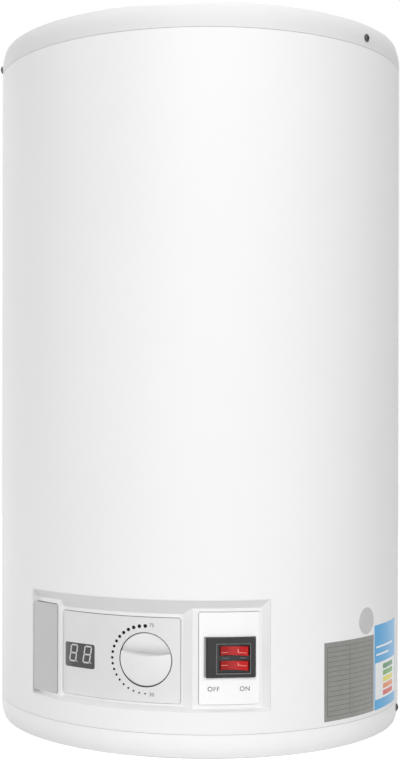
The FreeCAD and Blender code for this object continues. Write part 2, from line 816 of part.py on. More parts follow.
def cap_screws(prefix, angles, height):
    """The screws that hold a cap, their heads on its skirt."""
    screws = [screw(f"{prefix}_screw_{i}", "Size.cap_screw_head_radius",
                    "Size.cap_screw_head_height", "Size.cap_screw_radius",
                    "Size.cap_screw_length",
                    where(angle, "Size.shell_radius + 0.05", height, "90"))
              for i, angle in enumerate(angles)]
    return group(prefix + "_screws", screws)


def screw_holes(name, angles, height):
    """Tools round the screws of a cap, a little deeper than their tips."""
    start = "Size.shell_radius - Size.cap_screw_length - 1"
    return [radial_hole(f"{name}_{i}", "Size.cap_screw_radius + 0.2", angle, height, start)
            for i, angle in enumerate(angles)]


def pipe_holes(name, radius, bottom, length):
    """Upright tools where the two water pipes pass."""
    return [cylinder(f"{name}_{side}", radius, length,
                     where(x=f"{sign}Size.pipe_x", y="Size.pipe_y", up=bottom))
            for side, sign in (("cold", ""), ("hot", "-"))]


def stud_places():
    """The four bracket studs as pairs of x and height."""
    return [(f"{sign_x}Size.bracket_stud_x", f"Place.bracket_height {sign_z} Size.bracket_stud_rise")
            for sign_x in ("", "-") for sign_z in ("+", "-")]


def rear_holes(name, radius):
    """Tools along Y through the rear wall, round the bracket studs."""
    return [cylinder(f"{name}_{i}", radius, "Size.shell_radius",
                     f"placement(vector({x}; Place.tank_radius / 2; {z}); rotation(0; 0; -90))")
            for i, (x, z) in enumerate(stud_places())]


def casing():
    """Shell with joggled collars, two caps with their screws, and the foam inside."""
    wall = [("Place.collar_inner", "Place.bottom_collar_end"),
            ("Place.collar_outer", "Place.bottom_collar_end"),
            ("Place.collar_outer", "Place.bottom_seam"),
            ("Size.shell_radius", "Place.bottom_seam"),
            ("Size.shell_radius", "Place.top_seam"),
            ("Place.collar_outer", "Place.top_seam"),
            ("Place.collar_outer", "Place.top_collar_end"),
            ("Place.collar_inner", "Place.top_collar_end"),
            ("Place.collar_inner", "Place.top_seam_floor"),
            ("Place.shell_inner", "Place.top_seam_floor"),
            ("Place.shell_inner", "Place.bottom_seam_floor"),
            ("Place.collar_inner", "Place.bottom_seam_floor")]
    window = block_tool(
        "panel_window",
        ("2 * (Place.panel_half_width + Size.panel_gap)", "Size.shell_radius",
         "Place.panel_height + 2 * Size.panel_gap"),
        ("-Place.panel_half_width - Size.panel_gap", "-1.2 * Size.shell_radius",
         "Size.panel_bottom - Size.panel_gap"))
    holes = screw_holes("shell_top_hole", CAP_SCREW_ANGLES, "Place.top_screw_height")
    holes += screw_holes("shell_foot_hole", FOOT_SCREW_ANGLES, "Place.foot_screw_height")
    holes += rear_holes("shell_stud_hole", "Size.bracket_hole_radius")
    holes.append(cylinder("shell_spacer_hole", "Size.lower_screw_radius + 0.2",
                          "Size.shell_radius", where("180", "Place.tank_radius / 2",
                                                     "Size.lower_spacer_height", "90")))
    sub_part(cut("shell", revolved("shell_wall", wall), [window] + holes), "outer_shell")

    holes = screw_holes("top_hole", CAP_SCREW_ANGLES, "Place.top_screw_height")
    sub_part(cut("top_cap_drilled", cover("top", -1), holes), "top_cover")
    holes = screw_holes("foot_hole", FOOT_SCREW_ANGLES, "Place.foot_screw_height")
    holes += pipe_holes("foot_pipe_hole", "Size.pipe_radius + 0.6", "0", "2 * Size.cap_step")
    holes.append(cylinder("foot_gland_hole", "Size.gland_thread_radius + 0.2",
                          "2 * Size.cap_step", where(x="Size.gland_x", y="Size.gland_y")))
    sub_part(cut("bottom_cap_drilled", cover("bottom", 1), holes), "bottom_cover")
    sub_part(cap_screws("top", CAP_SCREW_ANGLES, "Place.top_screw_height"), "top_cover_screws")
    sub_part(cap_screws("foot", FOOT_SCREW_ANGLES, "Place.foot_screw_height"),
             "bottom_cover_screws")

    block = [("0", "Place.foam_core"), ("Place.foam_inner_radius", "Place.foam_core"),
             ("Place.foam_inner_radius", "Place.foam_inner_height"),
             ("Place.foam_step_radius", "Place.foam_step_height"),
             ("Place.foam_outer", "Place.foam_front_edge"),
             ("Place.foam_outer", "Place.foam_shoulder"),
             ("Place.foam_collar", "Place.foam_shoulder"),
             ("Place.foam_collar", "Place.foam_top"), ("0", "Place.foam_top")]
    space = [("0", "Place.tank_bottom - Size.dome_depth - Size.clearance"),
             ("Place.space_tangent_radius", "Place.tank_bottom - Place.space_tangent_rise"),
             ("Place.space_dome_radius", "Place.tank_bottom"),
             ("Place.space_dome_radius", "Place.space_bottom"),
             ("Place.space_radius", "Place.space_bottom"),
             ("Place.space_radius", "Place.space_top"),
             ("Place.space_dome_radius", "Place.space_top"),
             ("Place.space_dome_radius", "Place.tank_top"),
             ("Place.space_tangent_radius", "Place.tank_top + Place.space_tangent_rise"),
             ("0", "Place.tank_top + Size.dome_depth + Size.clearance")]
    arcs = {0: ("Place.space_crown", -1), 1: ("Place.space_knuckle", -1),
            7: ("Place.space_knuckle", -1), 8: ("Place.space_crown", -1)}
    tools = [revolved("tank_space", space, arcs)]
    tools += rear_holes("foam_stud_hole", "Size.stud_radius + Size.clearance")
    tools += screw_holes("foam_screw_hole", CAP_SCREW_ANGLES, "Place.top_screw_height")
    sub_part(cut("foam", revolved("foam_block", block), tools), "insulation_foam")


def dome(name, top):
    """A dished tank end: skirt inside the barrel, knuckle and crown."""
    base, sign, side = ("Place.tank_top", "+", -1) if top else ("Place.tank_bottom", "-", 1)

    def level(offset):
        return f"{base} {sign} ({offset})"

    corners = [("Place.dome_radius", level("-Size.dome_skirt")),
               ("Place.dome_radius", base),
               ("Place.tangent_radius", level("Place.tangent_rise")),
               ("0", level("Size.dome_depth")),
               ("0", level("Size.dome_depth - Size.tank_wall")),
               ("Place.tangent_inner_radius", level("Place.tangent_inner_rise")),
               ("Place.dome_inner", base),
               ("Place.dome_inner", level("-Size.dome_skirt"))]
    arcs = {1: ("Size.dome_knuckle", side), 2: ("Place.crown", side),
            4: ("Place.crown_inner", -side), 5: ("Place.knuckle_inner", -side)}
    return revolved(name, corners, arcs)


def tank():
    """Welded steel tank: barrel, two dished ends and the neck of the heating flange."""
    sub_part(ring("barrel", "Place.tank_inner", "Place.tank_radius", "Place.tank_bottom",
                  "Place.tank_top"), "tank_barrel")
    sub_part(dome("top_dish", True), "tank_top_dome")
    holes = [cylinder("dish_flange_hole", "Size.flange_bore", "Size.dome_depth",
                      where(y="Size.flange_y", up="Place.flange_face_height"))]
    holes += pipe_holes("dish_pipe_hole", "Size.pipe_radius + Size.weld_gap",
                        "Place.flange_face_height", "Size.dome_depth")
    sub_part(cut("bottom_dish_drilled", dome("bottom_dish", False), holes), "tank_bottom_dome")
    lowest = "Place.tank_bottom - Size.dome_depth"
    dish = [("0", "Place.tank_bottom"), ("0", lowest),
            ("Place.tangent_radius", "Place.tank_bottom - Place.tangent_rise"),
            ("Place.dome_radius", "Place.tank_bottom")]
    filled = revolved("filled_dish", dish, {1: ("Place.crown", -1),
                                            2: ("Size.dome_knuckle", -1)})
    neck = put(ring("neck_ring", "Size.flange_bore", "Size.flange_radius",
                    "Place.flange_face_height",
                    "Place.flange_face_height + Size.flange_neck_length"),
               where(y="Size.flange_y"))
    sub_part(cut("neck", neck, [filled]), "flange_neck")


def flange_items(make):
    """One item on each stud of the heating flange; make(index, x, y) returns it."""
    items = []
    for i in range(SIZES["flange_stud_count"]):
        turn = f"{i} * 360 / Size.flange_stud_count"
        items.append(make(i, f"Size.stud_circle * cos({turn})",
                          f"Size.flange_y + Size.stud_circle * sin({turn})"))
    return items


def stud_holes(name, up, length):
    return flange_items(lambda i, x, y: cylinder(f"{name}_{i}", "Size.stud_hole_radius", length,
                                                 where(x=x, y=y, up=up)))


def element_places():
    """The four legs of the heating elements as pairs of x and y."""
    return [(f"{sign_x}Size.element_x", f"Size.flange_y {sign_y} Size.element_bend")
            for sign_x in ("-", "") for sign_y in ("-", "+")]


def tube(name, radius, corners, arcs, start_y):
    """A rod swept along a path in the YZ plane that starts upright."""
    body = new_body(name)
    path = new_sketch(body, name + "_path", "YZ_Plane")
    outline(path, corners, arcs, closed=False)
    profile = new_sketch(body, name + "_profile", "XY_Plane", corners[0][1])
    circle(profile, radius, "0", start_y)
    sweep = body.newObject("PartDesign::AdditivePipe", name + "_sweep")
    sweep.Profile = profile
    sweep.Spine = path
    return body


def heating_element(side, sign):
    """A hairpin rod: two upright legs joined by two quarter bends."""
    bend = f"Place.element_start + Size.{side}_element_length - Size.element_bend"
    corners = [("-Size.element_bend", "Place.element_start"), ("-Size.element_bend", bend),
               ("0", f"{bend} + Size.element_bend"), ("Size.element_bend", bend),
               ("Size.element_bend", "Place.element_start")]
    arcs = {1: ("Size.element_bend", 1), 2: ("Size.element_bend", 1)}
    rod = tube(f"{side}_hairpin", "Size.element_radius", corners, arcs, "-Size.element_bend")
    sub_part(rod, f"heating_element_{side}", where(x=f"{sign}Size.element_x", y="Size.flange_y"))


def heating_flange():
    """Flange cover with its gasket, studs and nuts, and what it carries into the tank."""
    studs = flange_items(lambda i, x, y: cylinder(
        f"flange_stud_{i}", "Size.stud_radius", "Size.flange_stud_length",
        where(x=x, y=y, up="Place.flange_face_height - Size.flange_stud_length")))
    sub_part(group("flange_stud_set", studs), "flange_studs")
    nuts = flange_items(lambda i, x, y: nut(
        f"flange_nut_{i}", "Size.nut_width", "Size.nut_height", "Size.stud_radius + 0.05",
        where(x=x, y=y, up="Place.nut_low")))
    sub_part(group("flange_nut_set", nuts), "flange_nuts")
    seal = put(ring("seal_ring", "Size.flange_bore + 2", "Size.flange_radius",
                    "Place.flange_top", "Place.flange_face_height"), where(y="Size.flange_y"))
    sub_part(cut("seal", seal, stud_holes("seal_hole", "Place.flange_top",
                                          "Size.gasket_thickness")), "flange_gasket")

    plate = cylinder("flange_plate", "Size.flange_radius", "Size.flange_thickness",
                     where(y="Size.flange_y", up="Place.flange_low"))
    holes = stud_holes("cover_stud_hole", "Place.flange_low", "Size.flange_thickness")
    for i, (x, y) in enumerate(element_places()):
        holes.append(cylinder(f"cover_element_hole_{i}", "Size.element_radius + Size.weld_gap",
                              "Size.flange_thickness", where(x=x, y=y, up="Place.flange_low")))
    for name, radius, y in (("well", "Size.well_radius", "Size.well_y"),
                            ("anode", "Size.anode_core_radius", "Size.anode_y")):
        holes.append(cylinder(f"cover_{name}_hole", f"{radius} + Size.weld_gap",
                              "Size.flange_thickness",
                              where(y=f"Size.flange_y + {y}", up="Place.flange_low")))
    sub_part(cut("flange_plate_drilled", plate, holes), "flange_cover")

    heating_element("left", "-")
    heating_element("right", "")
    insulators = []
    terminals = []
    for i, (x, y) in enumerate(element_places()):
        insulators.append(put(
            ring(f"insulator_{i}", "Size.element_radius + 0.05", "Size.insulator_radius",
                 "Place.flange_low - Size.insulator_height", "Place.flange_low"),
            where(x=x, y=y)))
        terminals.append(cylinder(f"terminal_{i}", "Size.terminal_radius",
                                  "Size.terminal_length",
                                  where(x=x, y=y, up="Place.element_start - Size.terminal_length")))
    sub_part(group("insulator_set", insulators), "element_insulators")
    sub_part(group("terminal_set", terminals), "element_terminals")

    well_y = "Size.flange_y + Size.well_y"
    well = [("Size.well_bore", "Place.well_bottom"), ("Size.well_radius", "Place.well_bottom"),
            ("Size.well_radius", "Place.well_top"), ("0", "Place.well_top"),
            ("0", "Place.well_top - 1"), ("Size.well_bore", "Place.well_top - 1")]
    sub_part(revolved("well", well), "thermowell", where(y=well_y))
    sub_part(cylinder("bulb", "Size.bulb_radius", "Size.bulb_length"), "thermostat_bulb",
             where(y=well_y, up="Place.bulb_start"))

    bend = "Size.capillary_bend"
    low = "Size.capillary_low_height"
    exit_height = "Place.capillary_exit_height"
    drop = "Place.capillary_drop_y"
    corners = [(well_y, "Place.bulb_start"), (well_y, f"{low} + {bend}"),
               (f"{well_y} - {bend}", low), (f"{drop} + {bend}", low),
               (drop, f"{low} + {bend}"), (drop, f"{exit_height} - {bend}"),
               (f"{drop} - {bend}", exit_height),
               ("-(Place.thermostat_back - 0.1) / cos(Size.knob_angle)", exit_height)]
    arcs = {1: (bend, 1), 3: (bend, 1), 5: (bend, -1)}
    sub_part(tube("capillary", "Size.capillary_radius", corners, arcs, well_y),
             "thermostat_capillary")

    anode_y = "Size.flange_y + Size.anode_y"
    rod = cylinder("anode_rod", "Size.anode_radius", "Size.anode_length",
                   where(y=anode_y, up="Place.anode_start"))
    core = cylinder("anode_core", "Size.anode_core_radius", "Size.anode_core_length",
                    where(y=anode_y, up="Place.anode_core_low"))
    sub_part(fuse("anode", [rod, core]), "magnesium_anode")
    sub_part(nut("core_nut", "Size.anode_nut_width", "Size.anode_nut_height",
                 "Size.anode_core_radius + 0.05"), "anode_nut",
             where(y=anode_y, up="Place.flange_low - Size.anode_nut_height"))

    case = [("0", "Place.button_hole_top"), ("Place.button_hole", "Place.button_hole_top"),
            ("Place.button_hole", "Place.cutout_low"), ("Size.cutout_radius", "Place.cutout_low"),
            ("Size.cutout_radius", "Place.cutout_plate_low"),
            ("Size.cutout_plate_radius", "Place.cutout_plate_low"),
            ("Size.cutout_plate_radius", "Place.flange_low"), ("0", "Place.flange_low")]
    sub_part(revolved("cutout_case", case), "safety_cutout", where(y="Size.flange_y"))
    button = [("0", "Place.button_low"), ("Size.button_cap_radius", "Place.button_low"),
              ("Size.button_cap_radius", "Place.button_cap_top"),
              ("Size.button_radius", "Place.button_cap_top"),
              ("Size.button_radius", "Place.button_top"), ("0", "Place.button_top")]
    sub_part(revolved("button", button), "reset_button", where(y="Size.flange_y"))
    shank = cylinder("earth_shank", "Size.earth_screw_radius", "Size.earth_screw_length",
                     where(x="Size.earth_x", y="Size.flange_y + Size.earth_y",
                           up="Place.flange_low - Size.earth_screw_length"))
    head = cylinder("earth_head", "Size.earth_head_radius", "Size.earth_head_height",
                    where(x="Size.earth_x", y="Size.flange_y + Size.earth_y",
                          up="Place.flange_low - Size.earth_head_height"))
    sub_part(fuse("earth_stud", [shank, head]), "earth_screw")


def pipes():
    """Cold and hot connections, the riser, the diffuser and the two coloured rings."""
    for side, sign, label in (("cold", "", "cold_inlet_pipe"), ("hot", "-", "hot_outlet_pipe")):
        place = where(x=f"{sign}Size.pipe_x", y="Size.pipe_y")
        wall = [("Size.pipe_bore", "-Size.pipe_stand"),
                ("Size.pipe_thread_radius", "-Size.pipe_stand"),
                ("Size.pipe_thread_radius", "Place.thread_top"),
                ("Size.pipe_radius", "Place.thread_top"),
                ("Size.pipe_radius", "Place.pipe_top"), ("Size.pipe_bore", "Place.pipe_top")]
        sub_part(revolved(f"{side}_pipe", wall), label, place)
        sub_part(ring(f"{side}_ring", "Size.pipe_radius + 0.1", "Size.ring_radius",
                      "Size.cap_step - Size.ring_height", "Size.cap_step"),
                 f"{side}_pipe_ring", place)
    sub_part(ring("riser", "Size.riser_radius - Size.riser_wall", "Size.riser_radius",
                  "Place.pipe_top - Size.riser_overlap", "Place.riser_top"),
             "hot_outlet_tube", where(x="-Size.pipe_x", y="Size.pipe_y"))
    inside = "Size.diffuser_radius - Size.diffuser_wall"
    sleeve = "Size.pipe_radius + Size.weld_gap"
    cap = [(sleeve, "Place.diffuser_low"), ("Size.diffuser_radius", "Place.diffuser_low"),
           ("Size.diffuser_radius", "Place.diffuser_top"), ("0", "Place.diffuser_top"),
           ("0", "Place.diffuser_top - Size.diffuser_wall"),
           (inside, "Place.diffuser_top - Size.diffuser_wall"),
           (inside, "Place.diffuser_low + Size.diffuser_wall"),
           (sleeve, "Place.diffuser_low + Size.diffuser_wall")]
    long_side = "3 * Size.diffuser_radius"
    slots = []
    for i, (width, depth) in enumerate(((long_side, "Size.diffuser_radius"),
                                        ("Size.diffuser_radius", long_side))):
        slots.append(block_tool(f"diffuser_slot_{i}", (width, depth, "Size.diffuser_slot_height"),
                                (f"-({width}) / 2", f"-({depth}) / 2", "Place.pipe_top")))
    sub_part(cut("diffuser", revolved("diffuser_cap", cap), slots), "cold_inlet_diffuser",
             where(x="Size.pipe_x", y="Size.pipe_y"))


def polar(radius, angle):
    """Plan coordinates of a point at a radius and an angle round the heater."""
    return f"({radius}) * sin({angle})", f"-({radius}) * cos({angle})"


def beyond(first, second):
    """The point as far past the second one as the first lies before it."""
    return tuple(f"2 * ({far}) - ({near})" for near, far in zip(first, second))


def beside(angle, out, up, aside, roll="0"):
    """Like where(), and then moved aside, square to the way out."""
    return where(angle, out, up, roll, f"({aside}) * cos({angle})", f"({aside}) * sin({angle})")


def plan_prism(name, corners):
    """An upright tool, taller than the panel, over an outline seen from above."""
    body = new_body(name)
    sketch = new_sketch(body, name + "_plan", "XY_Plane")
    outline(sketch, corners)
    pad(body, sketch, "2 * Place.panel_top")
    return body


def radial_block(name, width, rise, length, corner, place):
    """A block with rounded corners that runs outwards from its place."""
    return put(rounded_block(name, width, rise, length, corner), place)


def curved_plate(name, inner, outer, bottom, top, left, right, corner):
    """A plate bent round the heater between two angles, with its corners rounded."""
    body = new_body(name)
    sketch = new_sketch(body, name + "_section", "XZ_Plane")
    outline(sketch, [(inner, bottom), (outer, bottom), (outer, top), (inner, top)])
    bent = body.newObject("PartDesign::Revolution", name + "_bent")
    bent.Profile = sketch
    bent.ReferenceAxis = (sketch, ["V_Axis"])
    bent.Midplane = True
    bent.setExpression("Angle", f"{right} - ({left})")
    upright = along(Z_AXIS)
    fillet(body, bent, corner,
           lambda edge: edge.Curve.TypeId == "Part::GeomLine" and not upright(edge))
    return put(body, f"placement(vector(0; 0; 0); rotation(({left} + {right}) / 2 - 90; 0; 0))")


def recess(name, inner, outer):
    """The trough between the slanted borders, from one radius out to another."""
    corners = []
    for radius, edge, slope in ((inner, "Place.border_bottom", "+ Size.bottom_slope"),
                                (outer, "Place.border_bottom", "+ Size.bottom_slope"),
                                (outer, "Place.border_top", "- Size.top_slope"),
                                (inner, "Place.border_top", "- Size.top_slope")):
        corners.append((radius, f"{edge} {slope} * (Size.shell_radius - ({radius}))"))
    return revolved(name, corners)


def front_box(name, half_width):
    return block_tool(name, (f"2 * ({half_width})", "1.1 * Size.shell_radius",
                             "2 * Place.panel_top"),
                      (f"-({half_width})", "-1.1 * Size.shell_radius", "0"))


def panel_relief(name, limit, angle):
    """Hollow behind the raised floor, between a side of the panel and a plane on the axis."""
    corners = [("0", "0"), (limit, f"-({limit}) / tan({angle})"), (limit, "0")]
    hollow = ring(name + "_ring", "Place.panel_back - 1", "Place.upper_back", "0",
                  "2 * Place.panel_top")
    return common(name, hollow, plan_prism(name + "_sides", corners))


def plate_groove(name, floor, bottom, top, left, right, corner):
    """Fine groove in one of the panel's floors, round the plate that lies there."""
    low = f"{floor} - Size.groove_depth"
    high = f"{floor} + Size.plate_thickness"
    outer = curved_plate(name + "_outer", low, high, f"{bottom} - Size.groove_width",
                         f"{top} + Size.groove_width", f"{left} - Place.groove_turn",
                         f"{right} + Place.groove_turn", f"{corner} + Size.groove_width")
    inner = curved_plate(name + "_inner", low, high, f"{bottom} + Size.groove_lap",
                         f"{top} - Size.groove_lap", f"{left} + Place.groove_lap_turn",
                         f"{right} - Place.groove_lap_turn", f"{corner} - Size.groove_lap")
    return cut(name, outer, [inner])


def control_bezel():
    """Moulded surround: two stepped floors, slanted borders, a cup for the knob and posts."""
    wall = [("Place.flange_inner", "Size.panel_bottom"), ("Size.shell_radius", "Size.panel_bottom"),
            ("Size.shell_radius", "Place.panel_top"), ("Place.flange_inner", "Place.panel_top"),
            ("Place.panel_back", "Place.back_top"), ("Place.panel_back", "Place.back_bottom")]
    face = common("panel_face", revolved("panel_ring", wall),
                  front_box("panel_box", "Place.panel_half_width"))
    lip = common("panel_lip", ring("lip_ring", "Place.flange_inner", "Place.flange_outer",
                                   "Place.flange_bottom",
                                   "Place.flange_bottom + Place.flange_rise"),
                 front_box("lip_box", "Place.flange_half"))
    cup = cylinder("knob_cup", "Place.cup_outer", "Place.lower_floor - Place.cup_back",
                   where("Size.knob_angle", "Place.cup_back", "Place.knob_height", "90"))
    posts = [cylinder(f"board_post_{i}", "Size.board_post_radius",
                      "Place.panel_back + 1 - Place.module_back",
                      beside("Size.display_angle", "Place.module_back", "Place.display_height",
                             f"{sign}Size.board_screw_x", "90"))
             for i, sign in enumerate(("-", ""))]
    blank = fuse("panel_blank", [face, lip, cup] + posts)

    far = "-2 * Size.shell_radius"
    foot = polar("Place.upper_floor", "Size.right_floor_angle")
    out = beyond(foot, polar("Size.shell_radius", "Place.panel_edge_angle"))
    left = "-Place.left_wall_x"
    upper = common("upper_recess", recess("upper_trough", "Place.upper_floor", "Place.cutter_radius"),
                   plan_prism("upper_sides", [("0", "0"), foot, out, (out[0], far), (left, far),
                                              (left, "0")]))
    foot = polar("Place.lower_floor", "Size.pocket_right_foot_angle")
    out = beyond(foot, polar("Place.upper_floor", "Size.pocket_right_top_angle"))
    lower = common("lower_recess", recess("lower_trough", "Place.lower_floor",
                                          "Place.upper_floor + 1"),
                   plan_prism("lower_sides", [("0", "0"), foot, out, (out[0], far),
                                              polar("3 * Size.shell_radius",
                                                    "Size.pocket_left_angle")]))
    limit = "Place.panel_half_width - Size.relief_margin"
    tools = [upper, lower,
             plate_groove("strip_groove", "Place.upper_floor", "Place.strip_bottom",
                          "Place.strip_top", "Size.strip_left_angle", "Size.strip_right_angle",
                          "Size.strip_corner"),
             plate_groove("fascia_groove", "Place.lower_floor", "Place.fascia_bottom",
                          "Place.fascia_top", "Size.fascia_left_angle",
                          "Size.fascia_right_angle", "Size.plate_corner"),
             plate_groove("switch_groove", "Place.upper_floor", "Place.switch_plate_bottom",
                          "Place.switch_plate_top", "Size.switch_plate_left_angle",
                          "Size.switch_plate_right_angle", "Size.plate_corner"),
             panel_relief("left_relief", f"-({limit})",
                          "(Size.pocket_left_angle - Size.relief_turn)"),
             panel_relief("right_relief", limit,
                          "(Size.pocket_right_top_angle + Size.relief_turn)"),
             radial_hole("knob_opening", "Place.knob_hole", "Size.knob_angle",
                         "Place.knob_height", "Place.cup_floor"),
             radial_hole("spindle_opening", "Size.spindle_hole_radius", "Size.knob_angle",
                         "Place.knob_height", "Place.thermostat_back")]
    for sign in ("-", "+"):
        tools.append(radial_hole("cup_hole_" + ("low" if sign == "-" else "high"),
                                 "Size.thermostat_screw_radius + 0.2", "Size.knob_angle",
                                 f"Place.knob_height {sign} Size.thermostat_screw_rise",
                                 "Place.thermostat_back"))
    for i, sign in enumerate(("-", "")):
        tools.append(cylinder(f"post_bore_{i}", "Size.board_screw_radius + 0.05",
                              "Size.board_screw_length",
                              beside("Size.display_angle", "Place.module_back",
                                     "Place.display_height", f"{sign}Size.board_screw_x", "90")))
        for low, height in (("low", "Place.panel_stud_low"), ("high", "Place.panel_stud_high")):
            tools.append(radial_hole(f"lip_hole_{low}_{i}", "Size.panel_stud_radius + 0.2",
                                     f"{sign}Size.panel_stud_angle", height,
                                     "Place.lower_floor"))
    tools.append(radial_block("display_opening", "Size.module_width + 2 * Size.module_play",
                              "Size.module_height + 2 * Size.module_play",
                              "2 * Size.panel_wall + 4", "0.5",
                              where("Size.display_angle", "Place.panel_back - 3",
                                    "Place.display_height", "90")))
    tools.append(radial_block("switch_opening", "Size.switch_body_width + 2 * Size.clearance",
                              "Size.switch_body_rise + 2 * Size.clearance",
                              "Size.switch_body_depth + 2", "0.5",
                              where("Size.switch_angle",
                                    "Place.plate_face - Size.switch_body_depth",
                                    "Place.switch_height", "90")))
    sub_part(cut("bezel", blank, tools), "control_bezel")


def panel_plates():
    """Strip, fascia and switch plate that lie on the panel's floors."""
    strip = new_body("strip")
    plan = new_sketch(strip, "strip_plan", "XY_Plane", "Place.strip_bottom")
    outer_left = polar("Place.strip_left", "Size.strip_left_angle")
    corners = [outer_left, polar("Place.strip_right", "Size.strip_right_angle"),
               polar("Place.plate_back", "Size.strip_right_angle"),
               (outer_left[0], f"-sqrt(Place.plate_back ^ 2 - ({outer_left[0]}) ^ 2)")]
    outline(plan, corners, {2: ("Place.plate_back", 1)})
    wedge = pad(strip, plan, "Place.strip_top - Place.strip_bottom")
    upright = along(Z_AXIS)
    fillet(strip, wedge, "Size.strip_corner",
           lambda edge: edge.Curve.TypeId == "Part::GeomLine" and not upright(edge)
           and edge.Length < SIZES["upper_floor_depth"] + SIZES["plate_thickness"])
    sub_part(strip, "trim_strip")

    fascia = curved_plate("fascia", "Place.fascia_back", "Place.fascia_face",
                          "Place.fascia_bottom", "Place.fascia_top", "Size.fascia_left_angle",
                          "Size.fascia_right_angle", "Size.plate_corner")
    window_place = where("Size.display_angle", "Place.panel_back", "Place.display_height", "90")
    window = radial_block("window_opening", "Size.window_width", "Size.window_height",
                          "4 * Size.panel_wall", "Size.window_corner", window_place)
    sub_part(cut("fascia_cut", fascia,
                 [window, radial_hole("fascia_hole", "Place.knob_hole", "Size.knob_angle",
                                      "Place.knob_height", "Place.cup_back")]), "fascia_plate")
    pane = radial_block("window_shape", "Size.window_width - 2 * Size.window_gap",
                        "Size.window_height - 2 * Size.window_gap", "4 * Size.panel_wall",
                        "Size.window_corner - Size.window_gap", window_place)
    glazing = ring("window_ring", "Place.fascia_back", "Place.fascia_face",
                   "Place.fascia_bottom", "Place.fascia_top")
    sub_part(common("window_pane", glazing, pane), "display_window")

    plate = curved_plate("plate", "Place.plate_back", "Place.plate_face",
                         "Place.switch_plate_bottom", "Place.switch_plate_top",
                         "Size.switch_plate_left_angle", "Size.switch_plate_right_angle",
                         "Size.plate_corner")
    opening = radial_block("plate_opening", "Size.switch_body_width + 2 * Size.clearance",
                           "Size.switch_body_rise + 2 * Size.clearance",
                           "Size.switch_body_depth + 2", "0.5",
                           where("Size.switch_angle", "Place.plate_face - Size.switch_body_depth",
                                 "Place.switch_height", "90"))
    sub_part(cut("plate_cut", plate, [opening]), "switch_plate")


def display():
    """Display module behind the window, its board and the screws into the posts."""
    angle = "Size.display_angle"
    height = "Place.display_height"
    module = rounded_block("module", "Size.module_width", "Size.module_height",
                           "Size.module_depth")
    sub_part(module, "display_module", where(angle, "Place.module_back", height, "90"))
    board = put(rounded_block("board", "Size.board_width", "Size.board_height",
                              "Size.board_thickness", "1"),
                where(angle, "Place.board_back", height, "90"))
    holes = []
    screws = []
    for i, sign in enumerate(("-", "")):
        aside = f"{sign}Size.board_screw_x"
        holes.append(cylinder(f"board_hole_{i}", "Size.board_screw_radius + 0.2",
                              "Size.board_thickness",
                              beside(angle, "Place.board_back", height, aside, "90")))
        screws.append(screw(f"board_screw_{i}", "Size.board_screw_head",
                            "Size.board_screw_radius", "Size.board_screw_radius",
                            "Size.board_screw_length",
                            beside(angle, "Place.board_back", height, aside, "-90")))
    sub_part(cut("board_drilled", board, holes), "display_board")
    sub_part(group("board_screw_set", screws), "display_screws")


def panel_fixings():
    """Studs welded inside the shell and the nuts that hold the panel's lip on them."""
    studs = []
    nuts = []
    for i, sign in enumerate(("-", "")):
        for low, height in (("low", "Place.panel_stud_low"), ("high", "Place.panel_stud_high")):
            angle = f"{sign}Size.panel_stud_angle"
            studs.append(cylinder(f"panel_stud_{low}_{i}", "Size.panel_stud_radius",
                                  "Size.panel_stud_length",
                                  where(angle, "Place.shell_inner - 0.02", height, "-90")))
            nuts.append(nut(f"panel_nut_{low}_{i}", "Size.panel_nut_width",
                            "Size.panel_nut_height", "Size.panel_stud_radius + 0.05",
                            where(angle, "Place.flange_inner - 0.06", height, "-90")))
    sub_part(group("panel_stud_set", studs), "bezel_studs")
    sub_part(group("panel_nut_set", nuts), "bezel_nuts")


def d_rod(name, radius, flat, start, length):
    """A round rod with one flat, which stands on its XY plane with the flat towards +Y."""
    body = new_body(name)
    sketch = new_sketch(body, name + "_section", "XY_Plane", start)
    half = f"sqrt(({radius}) ^ 2 - ({flat}) ^ 2)"
    outline(sketch, [(f"-{half}", flat), ("0", f"-({radius})"), (half, flat)],
            {0: (radius, -1), 1: (radius, -1)})
    pad(body, sketch, length)
    return body


def finger_hollow():
    """Half-moon hollow: level at the knob's rim and deepest at the flank that a finger pushes."""
    body = new_body("hollow_floor")
    floor = new_sketch(body, "hollow_profile", "YZ_Plane")
    outline(floor, [("0", "-Size.hollow_depth"), ("Size.hollow_foot", "-Size.hollow_depth"),
                    ("Size.hollow_rim", "-Size.hollow_rim_depth"),
                    ("1.1 * Size.knob_radius", "-Size.hollow_rim_depth"),
                    ("1.1 * Size.knob_radius", "Place.hollow_high"),
                    ("0", "Place.hollow_high")],
            {1: ("Place.hollow_arc", 1)})
    pad(body, floor, "2.2 * Size.knob_radius", midplane=True)
    high = "Size.hollow_edge_arc + Size.hollow_draft"
    low = "Size.hollow_edge_arc - Size.hollow_draft * (Size.knob_crown - Place.hollow_low)"
    flank = revolved("hollow_flank", [("0", "Place.hollow_low"), (low, "Place.hollow_low"),
                                      (high, "Place.hollow_high"), ("0", "Place.hollow_high")])
    put(flank, where(y="Size.hollow_edge_arc + Size.hollow_edge"))
    return put(common("hollow", body, flank), "placement(vector(0; 0; 0);"
                                              " rotation(-Size.hollow_turn; 0; 0))")


